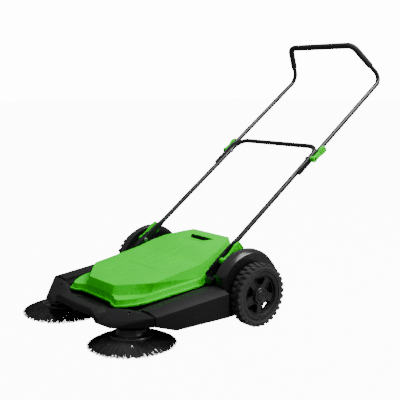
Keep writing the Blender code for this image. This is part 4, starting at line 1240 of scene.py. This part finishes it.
class SWEEPER_OT_body(bpy.types.Operator):
    """Builds the skirts, wheel housings, hood, brush covers, front bar and grille"""

    bl_idname = "sweeper.body"
    bl_label = "Body"

    def execute(self, context):
        edge = context.scene.sweeper_body.edge
        halves = [skirt(edge), shelf(edge)]
        halves += [twin(half, MIRROR) for half in halves]
        shell = gather("skirts_and_hood", halves + [hood(edge)])
        piece(shell, "chassis", body_plastic(), ["chassis_body"], 30)
        housing = wheel_housing(edge)
        both_sides(housing, "wheel_housing_*", "chassis", fender_plastic(), (), 30)
        cover = brush_cover(edge)
        both_sides(
            cover, "disc_cover_*", "chassis", body_plastic(), ["brush_cover_*"], 30,
        )
        both_sides(bar_cheek(edge), "bar_cheek_*", "chassis", body_plastic(), (), 30)
        both_sides(skirt_tray(), "skirt_tray_*", "chassis", body_plastic(), (), 30)
        both_sides(wheel_guard(), "wheel_guard_*", "chassis", fender_plastic(), (), 30)
        bar = soften(copied("front_bar", "carry_bar"), 0.0012, 2, 20)
        piece(bar, "chassis", body_plastic(), ["front_bar"], 40)
        grille = soften(copied("front_grille", "slotted_grille"), 0.0007, 2, 30)
        piece(grille, "chassis", black_plastic(), ["front_grille"], 35)
        return {"FINISHED"}


# ---- hopper ------------------------------------------------------------------------------------
GROOVE_X = (-0.05, 0.0, 0.05)
RIM_HALF = ((0.07, -0.475), (0.1, -0.477), (0.125, -0.49), (0.155, -0.493), (0.18, -0.47), (0.205, -0.43))
RIM_HALF += ((0.215, -0.395), (0.236, -0.15), (0.226, -0.105), (0.205, -0.02), (0.165, 0.06), (0.125, 0.105))


def lid_grooves(lid):
    """Two sunk panels that narrow to the rear, with three grooves along each."""
    front = [(0.098, -0.404), (0.093, -0.345), (0.088, -0.262)]
    rear = [(0.087, -0.246), (0.079, -0.1345), (0.07, -0.04), (0.066, 0.004)]
    for half in (front, rear):
        ring = half + [(-x, y) for x, y in reversed(half)]
        ends = {half[0][1]: -1, half[-1][1]: 1}
        rings = []
        for lift, spread in ((-0.001, 0.0), (0.004, 0.0035)):
            rings.append([
                (x + math.copysign(spread, x), y + spread * ends.get(y, 0), crown_z(y) + lift)
                for x, y in ring
            ])
        carve(lid, drawn("panel", rings))
    for x in GROOVE_X:
        for line in ((-0.398, -0.268), (-0.238, -0.1345, -0.04, -0.006)):
            rings = []
            for y in line:
                z = crown_z(y) - 0.0014
                section = ((-0.0034, 0.002), (0.0034, 0.002), (0.0022, -0.0011), (-0.0022, -0.0011))
                rings.append([(x + across, y, z + up) for across, up in section])
            carve(lid, drawn("groove", rings))
    return lid


def rim_slots(lid):
    """The slots for the clips along the rim."""
    for (x0, y0), (x1, y1), share in (
        ((-0.07, -0.475), (0.07, -0.475), 0.22),
        ((-0.07, -0.475), (0.07, -0.475), 0.78),
        (RIM_HALF[2], RIM_HALF[3], 0.5),
        (RIM_HALF[5], RIM_HALF[6], 0.5),
        (RIM_HALF[6], RIM_HALF[7], 0.42),
        (RIM_HALF[6], RIM_HALF[7], 0.86),
        (RIM_HALF[9], RIM_HALF[10], 0.5),
    ):
        start, end = Vector((x0, y0)), Vector((x1, y1))
        way = (end - start).normalized()
        out = Vector((way.y, -way.x))
        at = start.lerp(end, share)
        rise = (rim_z(end.y) - rim_z(start.y)) / (end - start).length
        for mirror in ((1, -1) if x0 > 0 else (1,)):
            rings = []
            for depth in (-0.006, 0.004):
                ring = []
                for run, lift in ((-0.01, 0.0008), (0.01, 0.0008), (0.01, 0.0046), (-0.01, 0.0046)):
                    spot = at + way * run + out * depth
                    ring.append(Vector((spot.x * mirror, spot.y, rim_z(at.y) + rise * run + lift)))
                rings.append(ring)
            carve(lid, drawn("slot", rings))
    return lid


class SWEEPER_OT_hopper(bpy.types.Operator):
    """Builds the faceted lid with its panels, grooves and clip slots, the grip pocket and the tub"""

    bl_idname = "sweeper.hopper"
    bl_label = "Hopper"

    def execute(self, context):
        lid = copied("hopper_lid", "faceted_lid")
        soften(lid, 0.0009, 2, 9)
        rim_slots(lid_grooves(lid))
        piece(lid, "hopper", lime_plastic(), ["hopper_lid"], 14)
        pocket = soften(copied("grip_pocket", "finger_pocket"), 0.0008, 2, 30)
        piece(pocket, "hopper", black_plastic(), ["grip_pocket"], 30)
        tub = soften(copied("hopper_tub", "debris_tub"), 0.0012, 2, 25)
        piece(tub, "hopper", black_plastic(), ["hopper_tub"], 30)
        return {"FINISHED"}


# ---- drive and roller --------------------------------------------------------------------------
def roller_tufts():
    """Tufts set in two crossing helices, so that the bristles close to a V as the roller turns."""
    chance = random.Random(7)
    centre = Vector((0, -0.115, 0.048))
    shapes = []
    rows, per_row = 12, 60
    for row in range(rows):
        for i in range(per_row):
            x = -0.232 + 0.464 * (i + 0.5) / per_row
            turn = 2 * math.pi * row / rows + 1.9 * abs(x) / 0.232
            out = Vector((0, math.cos(turn), math.sin(turn)))
            side = Vector((0, -math.sin(turn), math.cos(turn)))
            for _ in range(5):
                lean = Vector((chance.uniform(-0.0035, 0.0035), 0, 0)) + side * chance.uniform(-0.003, 0.003)
                start = centre + Vector((x + chance.uniform(-0.0012, 0.0012), 0, 0)) + out * 0.0184
                end = centre + Vector((x, 0, 0)) + lean + out * chance.uniform(0.0415, 0.043)
                rings = []
                for t, thick in ((0.0, 0.0008), (0.55, 0.0008), (1.0, 0.0005)):
                    point = start.lerp(end, t)
                    rings.append([point + Vector((1, 0, 0)) * thick * math.cos(u) + side * thick * math.sin(u)
                                  for u in (0.5, 2.6, 4.7)])
                shapes.append(rings)
    return loose("roller_tufts", shapes)


class SWEEPER_OT_drive(bpy.types.Operator):
    """Builds the roller brush, the belt drive, the axle, the bearings, the flap and the screws"""

    bl_idname = "sweeper.drive"
    bl_label = "Drive and roller"

    def execute(self, context):
        tufts = roller_tufts()
        piece(tufts, "roller", bristle_plastic(), ["roller_bristles"], 60)
        for node, body, material, slot, edge in (
            ("roller_core", "roller", black_plastic(), "black_plastic", 0.0006),
            ("roller_pulley", "roller", black_plastic(), "black_plastic", 0.0006),
            ("roller_belt", "chassis", soft_rubber(), "rubber", 0.0),
            ("wheel_axle", "chassis", zinc_steel(), "zinc_steel", 0.0006),
            ("dust_flap", "chassis", soft_rubber(), "rubber", 0.0006),
            ("axle_bush_*", "chassis", black_plastic(), "black_plastic", 0.0005),
            ("roller_bearing_*", "chassis", black_plastic(), "black_plastic", 0.0005),
            ("spindle_bearing_*", "chassis", black_plastic(), "black_plastic", 0.0005),
            ("side_belt_*", "chassis", soft_rubber(), "rubber", 0.0),
            ("cover_screw_*", "chassis", zinc_steel(), "zinc_steel", 0.0004),
            ("spindle_pulley_*", "disc_brush_*", black_plastic(), "black_plastic", 0.0006),
            ("drive_pulley_*", "wheel_*", black_plastic(), "black_plastic", 0.0006),
        ):
            for side, _ in SIDES if "*" in node else (("", 0),):
                source = node.replace("*", side)
                made = copied(source, f"{source}_shaped")
                if edge:
                    soften(made, edge, 2, 25)
                piece(made, body.replace("*", side), material, [source], 35)
        return {"FINISHED"}


# ---- stage -------------------------------------------------------------------------------------
CAMERA_FROM = Vector((2.2062, -1.828, 0.9028))
CAMERA_TO = Vector((0.0, 0.0324, 0.4287))
LENS = 64.14
BACKDROP = 14.0
FLOOR_GLOW = 12.0


def studio_floor():
    """A pale floor that the lens sees as bright as the backdrop, and that lights the object only a little."""
    material = bpy.data.materials.new("studio_floor")
    material.use_nodes = True
    tree = material.node_tree
    shader = tree.nodes["Principled BSDF"]
    shader.inputs["Base Color"].default_value = (*colours().floor, 1)
    shader.inputs["Roughness"].default_value = 0.9
    shader.inputs["Specular IOR Level"].default_value = 0.1
    shader.inputs["Emission Color"].default_value = (1, 1, 1, 1)
    seen = node(tree, "ShaderNodeLightPath").outputs["Is Camera Ray"]
    glow = node(tree, "ShaderNodeMath", seen, FLOOR_GLOW, operation="MULTIPLY")
    tree.links.new(glow.outputs["Value"], shader.inputs["Emission Strength"])
    return material


def studio_world():
    """A white backdrop for the lens, and a soft sky, brighter overhead, for everything else."""
    world = bpy.data.worlds.new("studio")
    world.use_nodes = True
    tree = world.node_tree
    soft = tree.nodes["Background"]
    white = node(tree, "ShaderNodeBackground", Color=(1, 1, 1, 1), Strength=BACKDROP)
    seen = node(tree, "ShaderNodeLightPath").outputs["Is Camera Ray"]
    split = node(tree, "ShaderNodeSeparateXYZ", Vector=node(tree, "ShaderNodeTexCoord").outputs["Generated"])
    sky = {"From Min": 0.0, "From Max": 1.0, "To Min": 0.05, "To Max": 0.6}
    ramp = node(tree, "ShaderNodeMapRange", Value=split.outputs["Z"], **sky)
    tree.links.new(ramp.outputs["Result"], soft.inputs["Strength"])
    soft.inputs["Color"].default_value = (1, 1, 1, 1)
    mix = node(tree, "ShaderNodeMixShader", seen, soft.outputs["Background"], white.outputs["Background"])
    tree.links.new(mix.outputs["Shader"], tree.nodes["World Output"].inputs["Surface"])
    return world


class SWEEPER_OT_stage(bpy.types.Operator):
    """Builds the pale floor, soft lights and the camera"""

    bl_idname = "sweeper.stage"
    bl_label = "Stage"

    def execute(self, context):
        ready()
        bpy.ops.mesh.primitive_plane_add(size=60)
        floor = named("studio_floor")
        floor.data.materials.append(studio_floor())
        floor.data.transform(Matrix.Translation((0, 0, -0.0005)))
        context.scene.world = studio_world()
        for name, place, size, power in (
            ("overhead", (1.2, 0.9, 2.7), 1.8, 130),
            ("side", (3.5, 0.6, 1.9), 2.0, 22),
            ("rim", (-2.5, 2.5, 2.0), 2.0, 6),
        ):
            ready()
            bpy.ops.object.light_add(type="AREA", location=place)
            lamp = bpy.context.object
            lamp.name = name
            lamp.data.size = size
            lamp.data.energy = power
            lamp.rotation_euler = (Vector(place) - Vector((0, -0.1, 0.2))).to_track_quat("Z", "Y").to_euler()
        ready()
        bpy.ops.object.camera_add(location=CAMERA_FROM + SHIFT)
        camera = bpy.context.object
        camera.name = "camera"
        camera.rotation_euler = (CAMERA_FROM - CAMERA_TO).to_track_quat("Z", "Y").to_euler()
        camera.data.lens = LENS
        camera.data.sensor_width = 36.0
        camera.data.clip_start = 0.01
        context.scene.camera = camera
        return {"FINISHED"}


# ---- panel and run -----------------------------------------------------------------------------
OPERATORS = (
    SWEEPER_OT_wheels,
    SWEEPER_OT_disc_brushes,
    SWEEPER_OT_handle,
    SWEEPER_OT_clamps,
    SWEEPER_OT_body,
    SWEEPER_OT_hopper,
    SWEEPER_OT_drive,
    SWEEPER_OT_stage,
)
GROUPS = (
    ("sweeper_wheels", WheelSizes),
    ("sweeper_brushes", BrushSizes),
    ("sweeper_handle", HandleSizes),
    ("sweeper_body", BodySizes),
    ("sweeper_colours", Colours),
)


class SWEEPER_PT_panel(bpy.types.Panel):
    """Lists the sweeper's sizes, colours and pieces"""

    bl_label = "Walk behind sweeper"
    bl_idname = "SWEEPER_PT_panel"
    bl_space_type = "VIEW_3D"
    bl_region_type = "UI"
    bl_category = "Sweeper"

    def draw(self, context):
        for name, kind in GROUPS:
            for key in kind.__annotations__:
                self.layout.prop(getattr(context.scene, name), key)
        for operator in OPERATORS:
            self.layout.operator(operator.bl_idname)


def register():
    for _, kind in GROUPS:
        bpy.utils.register_class(kind)
    for operator in OPERATORS:
        bpy.utils.register_class(operator)
    bpy.utils.register_class(SWEEPER_PT_panel)
    for name, kind in GROUPS:
        setattr(bpy.types.Scene, name, PointerProperty(type=kind))


def unregister():
    for name, _ in GROUPS:
        delattr(bpy.types.Scene, name)
    bpy.utils.unregister_class(SWEEPER_PT_panel)
    for operator in reversed(OPERATORS):
        bpy.utils.unregister_class(operator)
    for _, kind in reversed(GROUPS):
        bpy.utils.unregister_class(kind)


def main():
    register()
    for operator in OPERATORS:
        group_name, call = operator.bl_idname.split(".")
        getattr(getattr(bpy.ops, group_name), call)()


if __name__ == "__main__":
    main()
